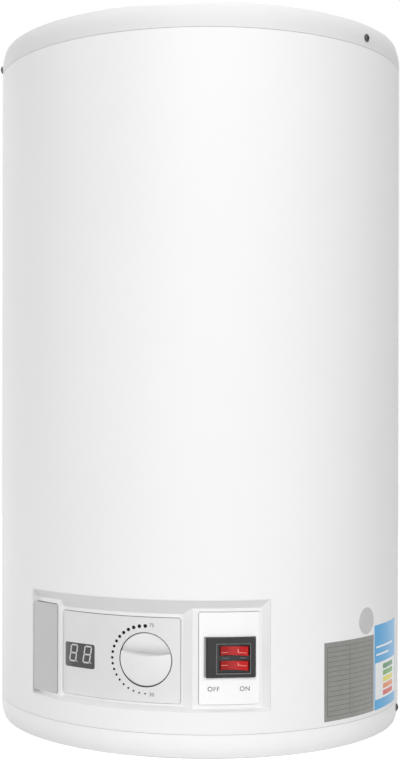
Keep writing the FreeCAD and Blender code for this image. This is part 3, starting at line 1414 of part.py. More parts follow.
def temperature_knob():
    """Low domed cap with a half-moon hollow for a finger, and its D-shaped spindle."""
    shoulder = "Size.knob_radius - Size.knob_edge"
    cavity_top = "-Size.knob_cavity_depth"
    cap = revolved("knob", [("0", "-Size.knob_skirt"), ("Size.knob_boss", "-Size.knob_skirt"),
                            ("Size.knob_boss", cavity_top), ("Place.knob_inner", cavity_top),
                            ("Place.knob_inner", "-Size.knob_skirt"),
                            ("Size.knob_radius", "-Size.knob_skirt"),
                            ("Size.knob_radius", "Size.knob_rim - Size.knob_edge"),
                            (shoulder, "Size.knob_rim"), ("0", "Size.knob_crown")],
                   {6: ("Size.knob_edge", -1), 7: ("Place.knob_dome", -1)})
    bore = d_rod("knob_bore", "Size.spindle_radius + 0.05", "Size.spindle_flat + 0.05",
                 "-Size.knob_skirt", "Size.spindle_in_knob + 0.2")
    sub_part(cut("knob_bored", cap, [finger_hollow(), bore]), "temperature_knob",
             where("Size.knob_angle", "Place.fascia_face", "Place.knob_height", "90"))

    round_length = "Place.spindle_length - Size.spindle_in_knob"
    spindle = fuse("spindle", [cylinder("spindle_round", "Size.spindle_radius", round_length),
                               d_rod("spindle_flat", "Size.spindle_radius",
                                     "Size.spindle_flat", round_length,
                                     "Size.spindle_in_knob")])
    sub_part(spindle, "thermostat_spindle",
             where("Size.knob_angle", "Place.cup_back - Size.spindle_in_body",
                   "Place.knob_height", "90"))


def thermostat():
    """Thermostat behind the knob's cup, with the two screws that hold it there."""
    depth = "Size.thermostat_depth"
    holes = [cylinder("spindle_bore", "Size.spindle_radius + Size.spindle_gap", depth,
                      where(up=f"{depth} - Size.spindle_in_body - Size.clearance"))]
    screws = []
    for i, sign in enumerate(("-", "")):
        rise = f"{sign}Size.thermostat_screw_rise"
        holes.append(cylinder(f"thermostat_hole_{i}", "Size.thermostat_screw_radius + 0.05",
                              "Size.thermostat_screw_length",
                              where(y=rise, up=f"{depth} - Size.thermostat_screw_length")))
        screws.append(screw(f"thermostat_screw_{i}", "Size.thermostat_screw_head",
                            "Size.thermostat_screw_head_height", "Size.thermostat_screw_radius",
                            "Size.thermostat_screw_length",
                            where("Size.knob_angle", "Place.cup_floor",
                                  f"Place.knob_height + ({rise})", "90")))
    case = rounded_block("thermostat", "Size.thermostat_width", "Size.thermostat_width", depth,
                         "Size.thermostat_corner")
    sub_part(cut("thermostat_case", case, holes), "thermostat_body",
             where("Size.knob_angle", "Place.thermostat_back", "Place.knob_height", "90"))
    sub_part(group("thermostat_screw_set", screws), "thermostat_screws")


SWITCH_PLACE = where("Size.switch_angle", "Place.plate_face", "Place.switch_height")


def front_block(name, width, rise, back, front, corner):
    """A block between two depths in front of its XZ plane, with its long edges rounded."""
    return rounded_block(name, width, rise, f"{front} - ({back})", corner, back, "XZ_Plane")


def power_switch():
    """Bevelled frame with a sunk well, a body behind the panel and two rockers."""
    frame = new_body("switch_frame")
    sketch = new_sketch(frame, "switch_frame_outline", "XZ_Plane", "-Size.switch_proud / 2")
    rectangle(sketch, "Size.switch_width", "Size.switch_rise")
    block = pad(frame, sketch, "1.5 * Size.switch_proud")
    face = -SIZES["switch_proud"] + 0.01
    bevel(frame, block, "Size.switch_bevel",
          lambda edge: all(vertex.Point.y < face for vertex in edge.Vertexes))
    plate = cylinder("plate_shape", "Place.plate_face + 0.1", "2 * Size.switch_rise",
                     where(y="Place.plate_face", up="-Size.switch_rise"))
    back = front_block("switch_body", "Size.switch_body_width", "Size.switch_body_rise",
                       "-Size.switch_body_depth", "1", "Size.switch_body_corner")
    solid = fuse("switch_solid", [cut("switch_frame_fitted", frame, [plate]), back])
    tools = [put(front_block("switch_well", "Size.well_width", "Size.well_rise",
                             "Place.well_floor", "Size.switch_proud + 1", "Size.well_corner"),
                 where(x="Size.well_shift", up="-Size.well_drop"))]
    tabs = []
    for name, sign in (("upper", ""), ("lower", "-")):
        row = f"{sign}Size.rocker_pitch / 2 - Size.rocker_drop"
        tools.append(block_tool(f"{name}_cavity",
                                ("2 * Place.cavity_half",
                                 "Place.cavity_floor + Size.switch_proud + 1",
                                 "Place.cavity_rise"),
                                ("Size.rocker_shift - Place.cavity_half",
                                 "-Size.switch_proud - 1", f"{row} - Place.cavity_rise / 2")))
        outline_sketch = new_sketch(new_body(f"{name}_paddle"), f"{name}_profile", "XY_Plane")
        paddle = outline_sketch.getParentGeoFeatureGroup()
        tip = "Size.rocker_tip"
        base = "Size.rocker_base"
        outline(outline_sketch, [("-Place.rocker_tip_x", f"-{tip}"),
                                 ("Place.rocker_tip_x", f"-{tip}"),
                                 ("Place.rocker_base_x", base), ("-Place.rocker_base_x", base)],
                {0: ("Place.rocker_dish", 1), 1: ("Size.rocker_radius", -1),
                 3: ("Size.rocker_radius", -1)})
        slab = pad(paddle, outline_sketch, "Size.rocker_rise", midplane=True)
        upright = along(Z_AXIS)
        fillet(paddle, slab, "Size.rocker_edge",
               lambda edge: upright(edge) and edge.Vertexes[0].Point.y < 0)
        pivot = cylinder(f"{name}_trunnions", "Size.trunnion_radius",
                         "Size.rocker_rise + 2 * Size.trunnion_length",
                         where(up="-Size.rocker_rise / 2 - Size.trunnion_length"))
        place = f"placement(vector(Size.rocker_shift; Size.rocker_sink; {row});" \
                " rotation(-Size.rocker_tilt; 0; 0))"
        sub_part(fuse(f"{name}_rocker", [paddle, pivot]), f"rocker_{name}",
                 SWITCH_PLACE + " * " + place)
        for i in range(3):
            tabs.append(block_tool(f"{name}_tab_{i}",
                                   ("Size.tab_thickness", "Size.tab_length", "Size.tab_width"),
                                   (f"({i} - 1) * Size.tab_pitch - Size.tab_thickness / 2",
                                    "Size.switch_body_depth", f"{row} - Size.tab_width / 2")))
    tools.append(cylinder("trunnion_bore", "Size.trunnion_radius + Size.trunnion_gap",
                          "2 * Place.trunnion_reach",
                          where(x="Size.rocker_shift", y="Size.rocker_sink",
                                up="-Place.trunnion_reach - Size.rocker_drop")))
    sub_part(cut("switch", solid, tools), "switch_housing", SWITCH_PLACE)
    sub_part(group("tab_set", tabs), "switch_terminals", SWITCH_PLACE)


def mains_inlet():
    """Cable gland in the bottom cover, its nut, and the terminal block."""
    nose = [("Size.gland_bore", "Place.gland_cap_low"),
            ("Size.gland_nose_radius", "Place.gland_cap_low"),
            ("Size.gland_cap_radius", "Place.gland_nose_top"),
            ("Size.gland_cap_radius", "Place.gland_hex_low"),
            ("Size.gland_bore", "Place.gland_hex_low")]
    place = where(x="Size.gland_x", y="Size.gland_y")
    hexagon = nut("gland_hexagon", "Size.gland_width", "Size.gland_hex_height",
                  "Size.gland_bore", where(up="Place.gland_hex_low"))
    thread = ring("gland_thread", "Size.gland_bore", "Size.gland_thread_radius",
                  "Size.cap_step", "Size.cap_step + Size.gland_thread_length")
    sub_part(fuse("gland", [revolved("gland_cap", nose), hexagon, thread]), "cable_gland", place)
    sub_part(nut("locknut", "Size.gland_width", "Size.gland_nut_height",
                 "Size.gland_thread_radius + 0.05"), "gland_nut",
             where(x="Size.gland_x", y="Size.gland_y", up="Place.plate_top"))

    holes = []
    screws = []
    for i in range(SIZES["block_ways"]):
        x = f"({i} - (Size.block_ways - 1) / 2) * Size.block_pitch"
        holes.append(cylinder(f"wire_hole_{i}", "Size.block_wire_radius", "Size.block_depth",
                              f"placement(vector({x}; -Size.block_depth / 2;"
                              " Size.block_wire_height); rotation(0; 0; -90))"))
        for j, sign in enumerate(("-", "")):
            y = f"{sign}Size.block_depth / 4"
            low = "Size.block_height - Size.block_screw_depth"
            holes.append(cylinder(f"block_hole_{i}_{j}", "Size.block_screw_radius",
                                  "Size.block_screw_depth", where(x=x, y=y, up=low)))
            screws.append(cylinder(f"block_screw_{i}_{j}", "Size.block_screw_radius - 0.1",
                                   "Size.block_screw_depth / 2", where(x=x, y=y, up=low)))
    place = where(x="Size.block_x", y="Size.block_y", up="Place.plate_top")
    block = rounded_block("terminals", "Size.block_width", "Size.block_depth",
                          "Size.block_height", "1")
    sub_part(cut("terminals_drilled", block, holes), "terminal_block", place)
    sub_part(group("block_screw_set", screws), "terminal_screws", place)


def rear_places(y):
    """Placements at the four bracket studs, from a depth towards the wall."""
    return [f"placement(vector({x}; {y}; {z}); rotation(0; 0; -90))" for x, z in stud_places()]


def wall_fixing():
    """Hat-shaped bracket on four studs, with spacers and nuts, and the lower spacer."""
    bracket = new_body("bracket")
    plan = new_sketch(bracket, "bracket_plan", "XY_Plane", "Place.bracket_low")
    half = [("Size.bracket_web_half", "Place.web_back"), ("Place.ramp_end", "Place.wall_y"),
            ("Place.bracket_half", "Place.wall_y"), ("Place.bracket_half", "Place.wing_front"),
            ("Place.ramp_end + Place.bracket_mitre", "Place.wing_front"),
            ("Size.bracket_web_half + Place.bracket_mitre", "Place.web_front")]
    outline(plan, half + [(f"-({x})", y) for x, y in reversed(half)])
    pad(bracket, plan, "Size.bracket_rise")
    radius = "Size.slot_radius"
    end = "Place.slot_half"
    shape = [(f"-{end}", f"-{radius}"), (end, f"-{radius}"), (f"{end} + {radius}", "0"),
             (end, radius), (f"-{end}", radius), (f"-{end} - {radius}", "0")]
    tools = rear_holes("web_hole", "Size.bracket_hole_radius")
    for i, sign in enumerate(("-", "")):
        slot = new_body(f"slot_{i}")
        sketch = new_sketch(slot, f"slot_{i}_outline", "XZ_Plane")
        outline(sketch, shape, {1: (radius, -1), 2: (radius, -1), 4: (radius, -1),
                                5: (radius, -1)})
        pad(slot, sketch, "2 * Size.bracket_sheet", midplane=True)
        tools.append(put(slot, f"placement(vector({sign}Size.slot_spacing / 2; Place.wall_y"
                               " - Size.bracket_sheet / 2; Place.bracket_height);"
                               " rotation(0; 0; 0))"))
    sub_part(cut("bracket_cut", bracket, tools), "wall_bracket")

    start = "0.8 * Place.tank_radius"
    tall = "Place.bracket_height + Size.bracket_rise"
    rods = [cylinder(f"bracket_rod_{i}", "Size.stud_radius", f"Place.stud_end - {start}", place)
            for i, place in enumerate(rear_places(start))]
    sub_part(cut("bracket_rods", group("bracket_rod_set", rods),
                 [cylinder("tank_shape", "Place.tank_radius", tall)]), "bracket_studs")
    start = "0.8 * Size.shell_radius"
    sleeves = [put(ring(f"sleeve_{i}", "Size.bracket_hole_radius", "Size.spacer_radius", "0",
                        f"Place.web_front - {start}"), place)
               for i, place in enumerate(rear_places(start))]
    sub_part(cut("sleeves", group("sleeve_set", sleeves),
                 [cylinder("shell_shape", "Size.shell_radius", tall)]), "bracket_spacers")
    nuts = [nut(f"bracket_nut_{i}", "Size.nut_width", "Size.nut_height",
                "Size.stud_radius + 0.05", place)
            for i, place in enumerate(rear_places("Place.web_back"))]
    sub_part(group("bracket_nut_set", nuts), "bracket_nuts")

    foot = put(front_block("foot_block", "Size.lower_spacer_width", "Size.lower_spacer_rise",
                           "-Place.wall_y", f"-({start})", "Size.lower_spacer_corner"),
               where(up="Size.lower_spacer_height"))
    peg = cylinder("foot_peg", "Size.lower_screw_radius", "Place.wall_y - Place.shell_inner",
                   "placement(vector(0; Place.shell_inner; Size.lower_spacer_height);"
                   " rotation(0; 0; -90))")
    pad_block = cut("foot_pad", foot, [cylinder("foot_shape", "Size.shell_radius", tall)])
    sub_part(fuse("foot_spacer", [pad_block, peg]), "lower_wall_spacer")


def check_and_export():
    """Stops at a faulty object, and otherwise writes each sub-part as its own solid file."""
    DOCUMENT.recompute()
    faulty = [item.Name for item in DOCUMENT.Objects
              if "Invalid" in item.State or "Error" in item.State]
    if faulty:
        raise ValueError("faulty objects: " + ", ".join(faulty))
    os.makedirs("parts", exist_ok=True)
    for item in SUB_PARTS:
        if item.Shape.isNull() or not item.Shape.isValid() or not item.Shape.Solids:
            raise ValueError(f"{item.Label} is not a valid solid")
        item.Shape.exportStep(f"parts/{item.Label}.step")


casing()
tank()
heating_flange()
pipes()
control_bezel()
panel_plates()
display()
panel_fixings()
temperature_knob()
thermostat()
power_switch()
mains_inlet()
wall_fixing()
check_and_export()
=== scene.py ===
"""Looks of a wall-hung electric storage water heater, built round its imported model.

Angles run round the heater's upright axis from its front, positive towards the viewer's right.
Heights start at its lower rim, and radii at its axis. Lengths are in millimetres, and become
metres only where a mesh point, the camera, a lamp or a node takes them.
"""
import bmesh
import bpy
import json
import math
from mathutils import Matrix, Vector

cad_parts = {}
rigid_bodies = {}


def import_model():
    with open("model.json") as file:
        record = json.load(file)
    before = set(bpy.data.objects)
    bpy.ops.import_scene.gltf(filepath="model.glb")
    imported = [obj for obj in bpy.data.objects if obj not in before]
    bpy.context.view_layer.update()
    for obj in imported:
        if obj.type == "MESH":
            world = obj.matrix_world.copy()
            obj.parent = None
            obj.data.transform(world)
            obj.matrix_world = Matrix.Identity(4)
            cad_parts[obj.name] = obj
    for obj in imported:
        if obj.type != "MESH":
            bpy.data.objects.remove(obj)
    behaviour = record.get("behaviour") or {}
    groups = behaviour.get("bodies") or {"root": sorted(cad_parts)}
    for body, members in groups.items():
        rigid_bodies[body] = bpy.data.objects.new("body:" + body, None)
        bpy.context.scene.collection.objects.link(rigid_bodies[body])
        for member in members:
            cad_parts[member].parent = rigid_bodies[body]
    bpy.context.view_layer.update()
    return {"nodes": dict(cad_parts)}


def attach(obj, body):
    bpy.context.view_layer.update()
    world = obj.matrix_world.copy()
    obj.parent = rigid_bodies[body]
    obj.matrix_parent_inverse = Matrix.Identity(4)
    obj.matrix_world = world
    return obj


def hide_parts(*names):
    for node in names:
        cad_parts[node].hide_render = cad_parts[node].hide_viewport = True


for leftover in list(bpy.data.objects):
    bpy.data.objects.remove(leftover)
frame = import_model()
NODES = frame["nodes"]

# Where the heater stands in the frame of the part
AXIS_Y = -245
LOWER_RIM = -600

# Radii of the shell, of the control panel's two floors and of the plates' faces
SHELL_RADIUS = 225
RECESS_RADIUS = 216
LAND_RADIUS = 220
FASCIA_FACE = 217.3
PLATE_FACE = 221.3

# Middles of the knob and of the switch's frame
KNOB_ANGLE = 2.0
KNOB_HEIGHT = 95
SWITCH_ANGLE = 24.17
SWITCH_HEIGHT = 100.2

# Thickness of printed ink
SHEET = 0.05


def spot(angle, radius, height):
    """A point round the heater, in the metres of the part's frame."""
    turn = math.radians(angle)
    return Vector((radius * math.sin(turn), AXIS_Y - radius * math.cos(turn),
                   LOWER_RIM + height)) / 1000


# ---------------------------------------------------------------- camera
CAMERA_ANGLE = 16.05
CAMERA_DISTANCE = 1502.9
CAMERA_HEIGHT = 340.5
CAMERA_YAW = -2.316
CAMERA_PITCH = 0.119
CAMERA_ROLL = 0.118
FOCAL_PIXELS = 1306.36
PRINCIPAL = (146.2, 409.0)
PICTURE = (400, 760)
SENSOR = 36
CLIP_END = 20000


def make_camera():
    """Camera in front of the heater's right half, at about half its height."""
    data = bpy.data.cameras.new("camera")
    camera = bpy.data.objects.new("camera", data)
    bpy.context.scene.collection.objects.link(camera)
    angle, yaw, pitch, roll = (math.radians(value) for value in
                               (CAMERA_ANGLE, CAMERA_YAW, CAMERA_PITCH, CAMERA_ROLL))
    up = Vector((0, 0, 1))
    inward = Vector((-math.sin(angle), math.cos(angle), 0))
    sideways = Vector((math.cos(angle), math.sin(angle), 0))
    level = inward * math.cos(yaw) + sideways * math.sin(yaw)
    right = sideways * math.cos(yaw) - inward * math.sin(yaw)
    forward = level * math.cos(pitch) + up * math.sin(pitch)
    top = up * math.cos(pitch) - level * math.sin(pitch)
    turned_right = right * math.cos(roll) + top * math.sin(roll)
    turned_top = top * math.cos(roll) - right * math.sin(roll)
    place = Matrix((turned_right, turned_top, -forward)).transposed().to_4x4()
    place.translation = spot(CAMERA_ANGLE, CAMERA_DISTANCE, CAMERA_HEIGHT)
    camera.matrix_world = place
    data.sensor_width = SENSOR
    data.lens = FOCAL_PIXELS * SENSOR / PICTURE[1]
    data.shift_x = (PICTURE[0] / 2 - PRINCIPAL[0]) / PICTURE[1]
    data.shift_y = (PRINCIPAL[1] - PICTURE[1] / 2) / PICTURE[1]
    data.clip_end = CLIP_END / 1000
    bpy.context.scene.camera = camera


make_camera()


# ---------------------------------------------------------------- materials
PATCH_SPAN = (0.3, 0.7)
LEAST_ROUGHNESS = 0.02


def linear(colour):
    """A colour as it is seen on a screen, from 0 to 255, as scene light."""
    shares = [value / 255 for value in colour]
    return tuple(s / 12.92 if s <= 0.04045 else ((s + 0.055) / 1.055) ** 2.4
                 for s in shares) + (1,)


def add_node(nodes, kind, **values):
    """A shader node with some of its inputs set by name."""
    node = nodes.new("ShaderNode" + kind)
    for socket, value in values.items():
        node.inputs[socket.replace("_", " ")].default_value = value
    return node


def surface(name, colour, roughness, mottle=(40, 3), grain=(900, 0.02, 0.2), stretch=(1, 1, 1),
            spread=0.05, **sockets):
    """A material whose colour, roughness and relief vary a little over the surface.

    mottle is the scale of the colour's patches and how far they differ; grain is the scale,
    depth in millimetres and strength of the fine relief, and stretch draws it out along an axis.
    """
    material = bpy.data.materials.new(name)
    material.use_nodes = True
    nodes, links = material.node_tree.nodes, material.node_tree.links
    shader = nodes["Principled BSDF"]
    place = add_node(nodes, "TexCoord")
    mapping = add_node(nodes, "Mapping", Scale=stretch)
    links.new(place.outputs["Object"], mapping.inputs["Vector"])

    patches = add_node(nodes, "TexNoise", Scale=mottle[0], Detail=3)
    links.new(place.outputs["Object"], patches.inputs["Vector"])
    ramp = add_node(nodes, "ValToRGB")
    dark, light = ramp.color_ramp.elements
    dark.position, light.position = PATCH_SPAN
    dark.color = linear([max(value - mottle[1], 0) for value in colour])
    light.color = linear([min(value + mottle[1], 255) for value in colour])
    links.new(patches.outputs["Fac"], ramp.inputs["Fac"])
    links.new(ramp.outputs["Color"], shader.inputs["Base Color"])

    fine = add_node(nodes, "TexNoise", Scale=grain[0], Detail=2)
    links.new(mapping.outputs["Vector"], fine.inputs["Vector"])
    bump = add_node(nodes, "Bump", Distance=grain[1] / 1000, Strength=grain[2])
    links.new(fine.outputs["Fac"], bump.inputs["Height"])
    links.new(bump.outputs["Normal"], shader.inputs["Normal"])

    gloss = add_node(nodes, "MapRange", To_Min=max(roughness - spread, LEAST_ROUGHNESS),
                     To_Max=roughness + spread)
    links.new(patches.outputs["Fac"], gloss.inputs["Value"])
    links.new(gloss.outputs["Result"], shader.inputs["Roughness"])
    for socket, value in sockets.items():
        shader.inputs[socket.replace("_", " ")].default_value = value
    return material


def colour_socket(sockets, name):
    """The one of a Mix node's sockets of that name that carries a colour."""
    return next(socket for socket in sockets if socket.type == "RGBA" and socket.name == name)


def paint_shade_with_depth(material, angle, radius, start, end, share):
    """Paints shade into a colour with depth below a flat face that looks outwards at an angle.

    The painted shade starts at one depth, and has its full share at another.
    """
    nodes, links = material.node_tree.nodes, material.node_tree.links
    shader = nodes["Principled BSDF"]
    colour = shader.inputs["Base Color"].links[0].from_socket
    turn = math.radians(angle)
    place = add_node(nodes, "TexCoord")
    shift = add_node(nodes, "VectorMath")
    shift.operation = "SUBTRACT"
    shift.inputs[1].default_value = spot(angle, radius, 0)
    along = add_node(nodes, "VectorMath")
    along.operation = "DOT_PRODUCT"
    along.inputs[1].default_value = (-math.sin(turn), math.cos(turn), 0)
    depth = add_node(nodes, "MapRange", From_Min=start / 1000, From_Max=end / 1000, To_Min=0,
                     To_Max=share)
    tone = add_node(nodes, "Mix")
    tone.data_type = "RGBA"
    colour_socket(tone.inputs, "B").default_value = (0, 0, 0, 1)
    links.new(place.outputs["Object"], shift.inputs[0])
    links.new(shift.outputs["Vector"], along.inputs[0])
    links.new(along.outputs["Value"], depth.inputs["Value"])
    links.new(depth.outputs["Result"], tone.inputs[0])
    links.new(colour, colour_socket(tone.inputs, "A"))
    links.new(colour_socket(tone.outputs, "Result"), shader.inputs["Base Color"])


shell_paint = surface("shell_paint", (244, 244, 244), 0.46, (6, 1), (420, 0.03, 0.25),
                      Specular_IOR_Level=0.3)
# The top and bottom covers are one plastic in two copies: painted shade darkens the top cover's,
# and painted light brightens the one on the bottom cover and the lower wall spacer
cover_shaded_plastic = surface("cover_shaded_plastic", (231, 231, 231), 0.46, (30, 1), (700, 0.03, 0.3),
                      Specular_IOR_Level=0.3)
cover_plastic = surface("cover_plastic", (248, 248, 248), 0.46, (30, 1), (700, 0.03, 0.3),
                        Specular_IOR_Level=0.3)
bezel_plastic = surface("bezel_plastic", (233, 233, 233), 0.42, (30, 1), (1400, 0.02, 0.3),
                        Specular_IOR_Level=0.7)
strip_plastic = surface("strip_plastic", (194, 194, 194), 0.34, (30, 1), (1800, 0.02, 0.3))
fascia_plastic = surface("fascia_plastic", (221, 221, 221), 0.42, (50, 1), (2200, 0.02, 0.3),
                         Specular_IOR_Level=0.9)
plate_plastic = surface("plate_plastic", (248, 248, 248), 0.36, (50, 1), (1800, 0.02, 0.2))
knob_plastic = surface("knob_plastic", (233, 233, 233), 0.33, (40, 1), (2200, 0.01, 0.2))
window_glass = surface("window_glass", (60, 60, 60), 0.12, (60, 2), (300, 0.005, 0.1),
                       spread=0.02)
segment_glow = surface("segment_glow", (205, 205, 205), 0.3, (200, 3), (900, 0.01, 0.2))
black_plastic = surface("black_plastic", (34, 34, 35), 0.42, (60, 3), (1500, 0.03, 0.3),
                        Specular_IOR_Level=0.3)
# Pale grey for painted highlights on the switch: its well's rim and the dashes on its bar
switch_highlight_grey = surface("switch_highlight_grey", (104, 104, 106), 0.28, (80, 4), (1500, 0.02, 0.2))
rocker_plastic = surface("rocker_plastic", (198, 20, 20), 0.3, (90, 6), (400, 0.01, 0.15),
                         spread=0.04, Specular_IOR_Level=0.22, Coat_Weight=0.08,
                         Coat_Roughness=0.1)
# Pale pink for the painted highlight streaks on the rockers and for their printed stroke
rocker_mark = surface("rocker_mark", (236, 150, 138), 0.4, (200, 3))
# Dark and mid greys for painted shade in the grooves round the plates
gap_shade_dark = surface("gap_shade_dark", (84, 84, 86), 0.6, (300, 4), (1500, 0.01, 0.2))
gap_shade_mid = surface("gap_shade_mid", (140, 140, 142), 0.6, (300, 4), (1500, 0.01, 0.2))
switch_shadow_grey = surface("switch_shadow_grey", (172, 172, 174), 0.6, (300, 3), (1500, 0.01, 0.2))
seam_shade_grey = surface("seam_shade_grey", (166, 166, 167), 0.6, (300, 3), (1500, 0.01, 0.2))
# Black ink for print, also used as painted shade in the knob's gap and the screws' cross
# recesses
print_and_shade_ink = surface("print_and_shade_ink", (24, 24, 26), 0.6, (300, 4), (1500, 0.01, 0.2), Specular_IOR_Level=0.1)
grey_ink = surface("grey_ink", (78, 78, 80), 0.5, (300, 4), (1500, 0.01, 0.2))
silver_foil = surface("silver_foil", (132, 132, 128), 0.34, (120, 3), (500, 0.02, 0.3),
                      (1, 1, 14), Metallic=0.35)
seal_foil = surface("seal_foil", (186, 186, 186), 0.36, (150, 3), (900, 0.01, 0.3), Metallic=0.3)
blue_print = surface("blue_print", (36, 158, 217), 0.32, (80, 3), (900, 0.01, 0.2))
white_print = surface("white_print", (238, 240, 240), 0.34, (80, 2), (900, 0.01, 0.2))
# The screws' plated heads are painted dark grey, standing in for the dark reflection they show
screw_painted_reflection = surface("screw_painted_reflection", (74, 74, 76), 0.38, (400, 14), (1800, 0.03, 0.5),
                      Metallic=0.8)
zinc = surface("zinc", (190, 190, 186), 0.34, (120, 12), (900, 0.03, 0.4), Metallic=0.9)
bracket_paint = surface("bracket_paint", (204, 205, 206), 0.4, (60, 4), (700, 0.05, 0.4))
blue_ring = surface("blue_ring", (30, 84, 186), 0.3, (80, 4), (1200, 0.02, 0.2))
red_ring = surface("red_ring", (190, 34, 32), 0.3, (80, 4), (1200, 0.02, 0.2))
enamel = surface("enamel", (58, 70, 96), 0.3, (40, 6), (300, 0.05, 0.3))
copper = surface("copper", (196, 128, 92), 0.3, (120, 10), (800, 0.03, 0.4), Metallic=1)
brass = surface("brass", (206, 172, 106), 0.3, (120, 8), (800, 0.02, 0.4), Metallic=1)
magnesium = surface("magnesium", (170, 170, 168), 0.6, (90, 8), (500, 0.08, 0.5), Metallic=0.6)
rubber = surface("rubber", (38, 38, 38), 0.7, (90, 4), (1200, 0.05, 0.5))
foam = surface("foam", (226, 208, 150), 0.9, (60, 8), (600, 0.3, 0.6))
board = surface("board", (34, 92, 52), 0.4, (200, 6), (1200, 0.02, 0.3))
ceramic = surface("ceramic", (232, 230, 222), 0.35, (90, 3), (900, 0.02, 0.3))

# Painted shade darkens the knob deeper in its hollow; the rockers' red darkens away from their
# right-hand end, leaving painted light on that end
ROCKER_RIGHT_END = 18.2
paint_shade_with_depth(knob_plastic, KNOB_ANGLE, FASCIA_FACE, start=1.2, end=6.5, share=0.34)
paint_shade_with_depth(rocker_plastic, SWITCH_ANGLE + 90, ROCKER_RIGHT_END, start=3, end=29,
                  share=0.5)

FINISHES = {
    shell_paint: ("outer_shell",),
    cover_shaded_plastic: ("top_cover",),
    cover_plastic: ("bottom_cover", "lower_wall_spacer"),
    bezel_plastic: ("control_bezel",),
    strip_plastic: ("trim_strip",),
    fascia_plastic: ("fascia_plate",),
    plate_plastic: ("switch_plate",),
    knob_plastic: ("temperature_knob",),
    window_glass: ("display_window",),
    black_plastic: ("switch_housing", "cable_gland", "gland_nut", "display_module",
                    "thermostat_body", "safety_cutout"),
    rocker_plastic: ("rocker_upper", "rocker_lower"),
    red_ring: ("hot_pipe_ring", "reset_button"),
    blue_ring: ("cold_pipe_ring",),
    screw_painted_reflection: ("top_cover_screws", "bottom_cover_screws"),
    zinc: ("cold_inlet_pipe", "hot_outlet_pipe", "hot_outlet_tube", "bracket_studs",
           "bracket_nuts", "bracket_spacers", "flange_cover", "flange_studs", "flange_nuts",
           "anode_nut", "bezel_studs", "bezel_nuts", "display_screws", "thermostat_screws"),
    bracket_paint: ("wall_bracket",),
    enamel: ("tank_barrel", "tank_top_dome", "tank_bottom_dome", "flange_neck"),
    copper: ("heating_element_left", "heating_element_right", "thermowell", "thermostat_bulb",
             "thermostat_capillary"),
    brass: ("element_terminals", "earth_screw", "thermostat_spindle", "switch_terminals",
            "terminal_screws"),
    magnesium: ("magnesium_anode",),
    rubber: ("flange_gasket",),
    foam: ("insulation_foam",),
    board: ("display_board",),
    ceramic: ("element_insulators", "cold_inlet_diffuser", "terminal_block"),
}


def dress(item, material):
    """Gives a node of the CAD model one material all over."""
    if not item.material_slots:
        item.data.materials.append(material)
    for place in item.material_slots:
        place.material = material


for finish, names in FINISHES.items():
    for name in names:
        dress(NODES[name], finish)


# ---------------------------------------------------------------- mesh helpers
SHARP_ANGLE = 35
CORNER_STEPS = 5
LETTER_STEPS = 6
MERGE_DISTANCE = 0.001


def make_piece(name, mesh, material, body, smooth=False):
    """Turns a bmesh into a piece that rides on a body of the part."""
    data = bpy.data.meshes.new(name)
    bmesh.ops.recalc_face_normals(mesh, faces=mesh.faces)
    mesh.to_mesh(data)
    mesh.free()
    piece = bpy.data.objects.new(name, data)
    bpy.context.scene.collection.objects.link(piece)
    data.materials.append(material)
    if smooth:
        data.set_sharp_from_angle(angle=math.radians(SHARP_ANGLE))
        for face in data.polygons:
            face.use_smooth = True
    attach(piece, body)
    return piece


def wrap(mesh, angle, radius, height):
    """Bends a flat design round the heater: its x runs round, its y up and its z outwards."""
    for vertex in mesh.verts:
        across, up, out = vertex.co
        turned = angle + math.degrees(across / radius)
        vertex.co = spot(turned, radius + out, height + up)


def sideways_at(angle):
    """A millimetre to the viewer's right on a face that looks outwards at an angle."""
    turn = math.radians(angle)
    return Vector((math.cos(turn), math.sin(turn), 0)) / 1000


def lay(mesh, angle, radius, height):
    """Places a flat design on a flat face that looks outwards, and leaves it flat."""
    aside = sideways_at(angle)
    for vertex in mesh.verts:
        across, up, out = vertex.co
        vertex.co = spot(angle, radius + out, height + up) + across * aside


def add_prism(mesh, corners, thickness):
    """A flat outline, given anticlockwise, with a thickness."""
    low = [mesh.verts.new((x, y, 0)) for x, y in corners]
    high = [mesh.verts.new((x, y, thickness)) for x, y in corners]
    mesh.faces.new(list(reversed(low)))
    mesh.faces.new(high)
    for i, vertex in enumerate(low):
        j = (i + 1) % len(low)
        mesh.faces.new((vertex, low[j], high[j], high[i]))


def add_sheet(mesh, left, bottom, right, top, corner, thickness, columns=24, base=0.0):
    """A rounded rectangle in upright strips, so that it bends smoothly round the heater."""
    stops = {left, right}
    for i in range(1, CORNER_STEPS + 1):
        rise = corner * (1 - math.cos(math.pi / 2 * i / CORNER_STEPS))
        stops.update((left + rise, right - rise))
    for i in range(1, columns):
        stops.add(left + corner + (right - left - 2 * corner) * i / columns)
    front, back = [], []
    for x in sorted(stops):
        edge = min(x - left, right - x)
        drop = 0.0
        if edge < corner:
            drop = corner - math.sqrt(max(corner ** 2 - (corner - edge) ** 2, 0))
        low, high = bottom + drop, top - drop
        front.append([mesh.verts.new((x, y, base + thickness)) for y in (low, high)])
        back.append([mesh.verts.new((x, y, base)) for y in (low, high)])
    for a, b, c, d in zip(front, front[1:], back, back[1:]):
        mesh.faces.new((a[0], b[0], b[1], a[1]))
        mesh.faces.new((c[0], c[1], d[1], d[0]))
        mesh.faces.new((a[1], b[1], d[1], c[1]))
        mesh.faces.new((a[0], c[0], d[0], b[0]))
    for a, c in ((front[0], back[0]), (front[-1], back[-1])):
        mesh.faces.new((a[0], a[1], c[1], c[0]))


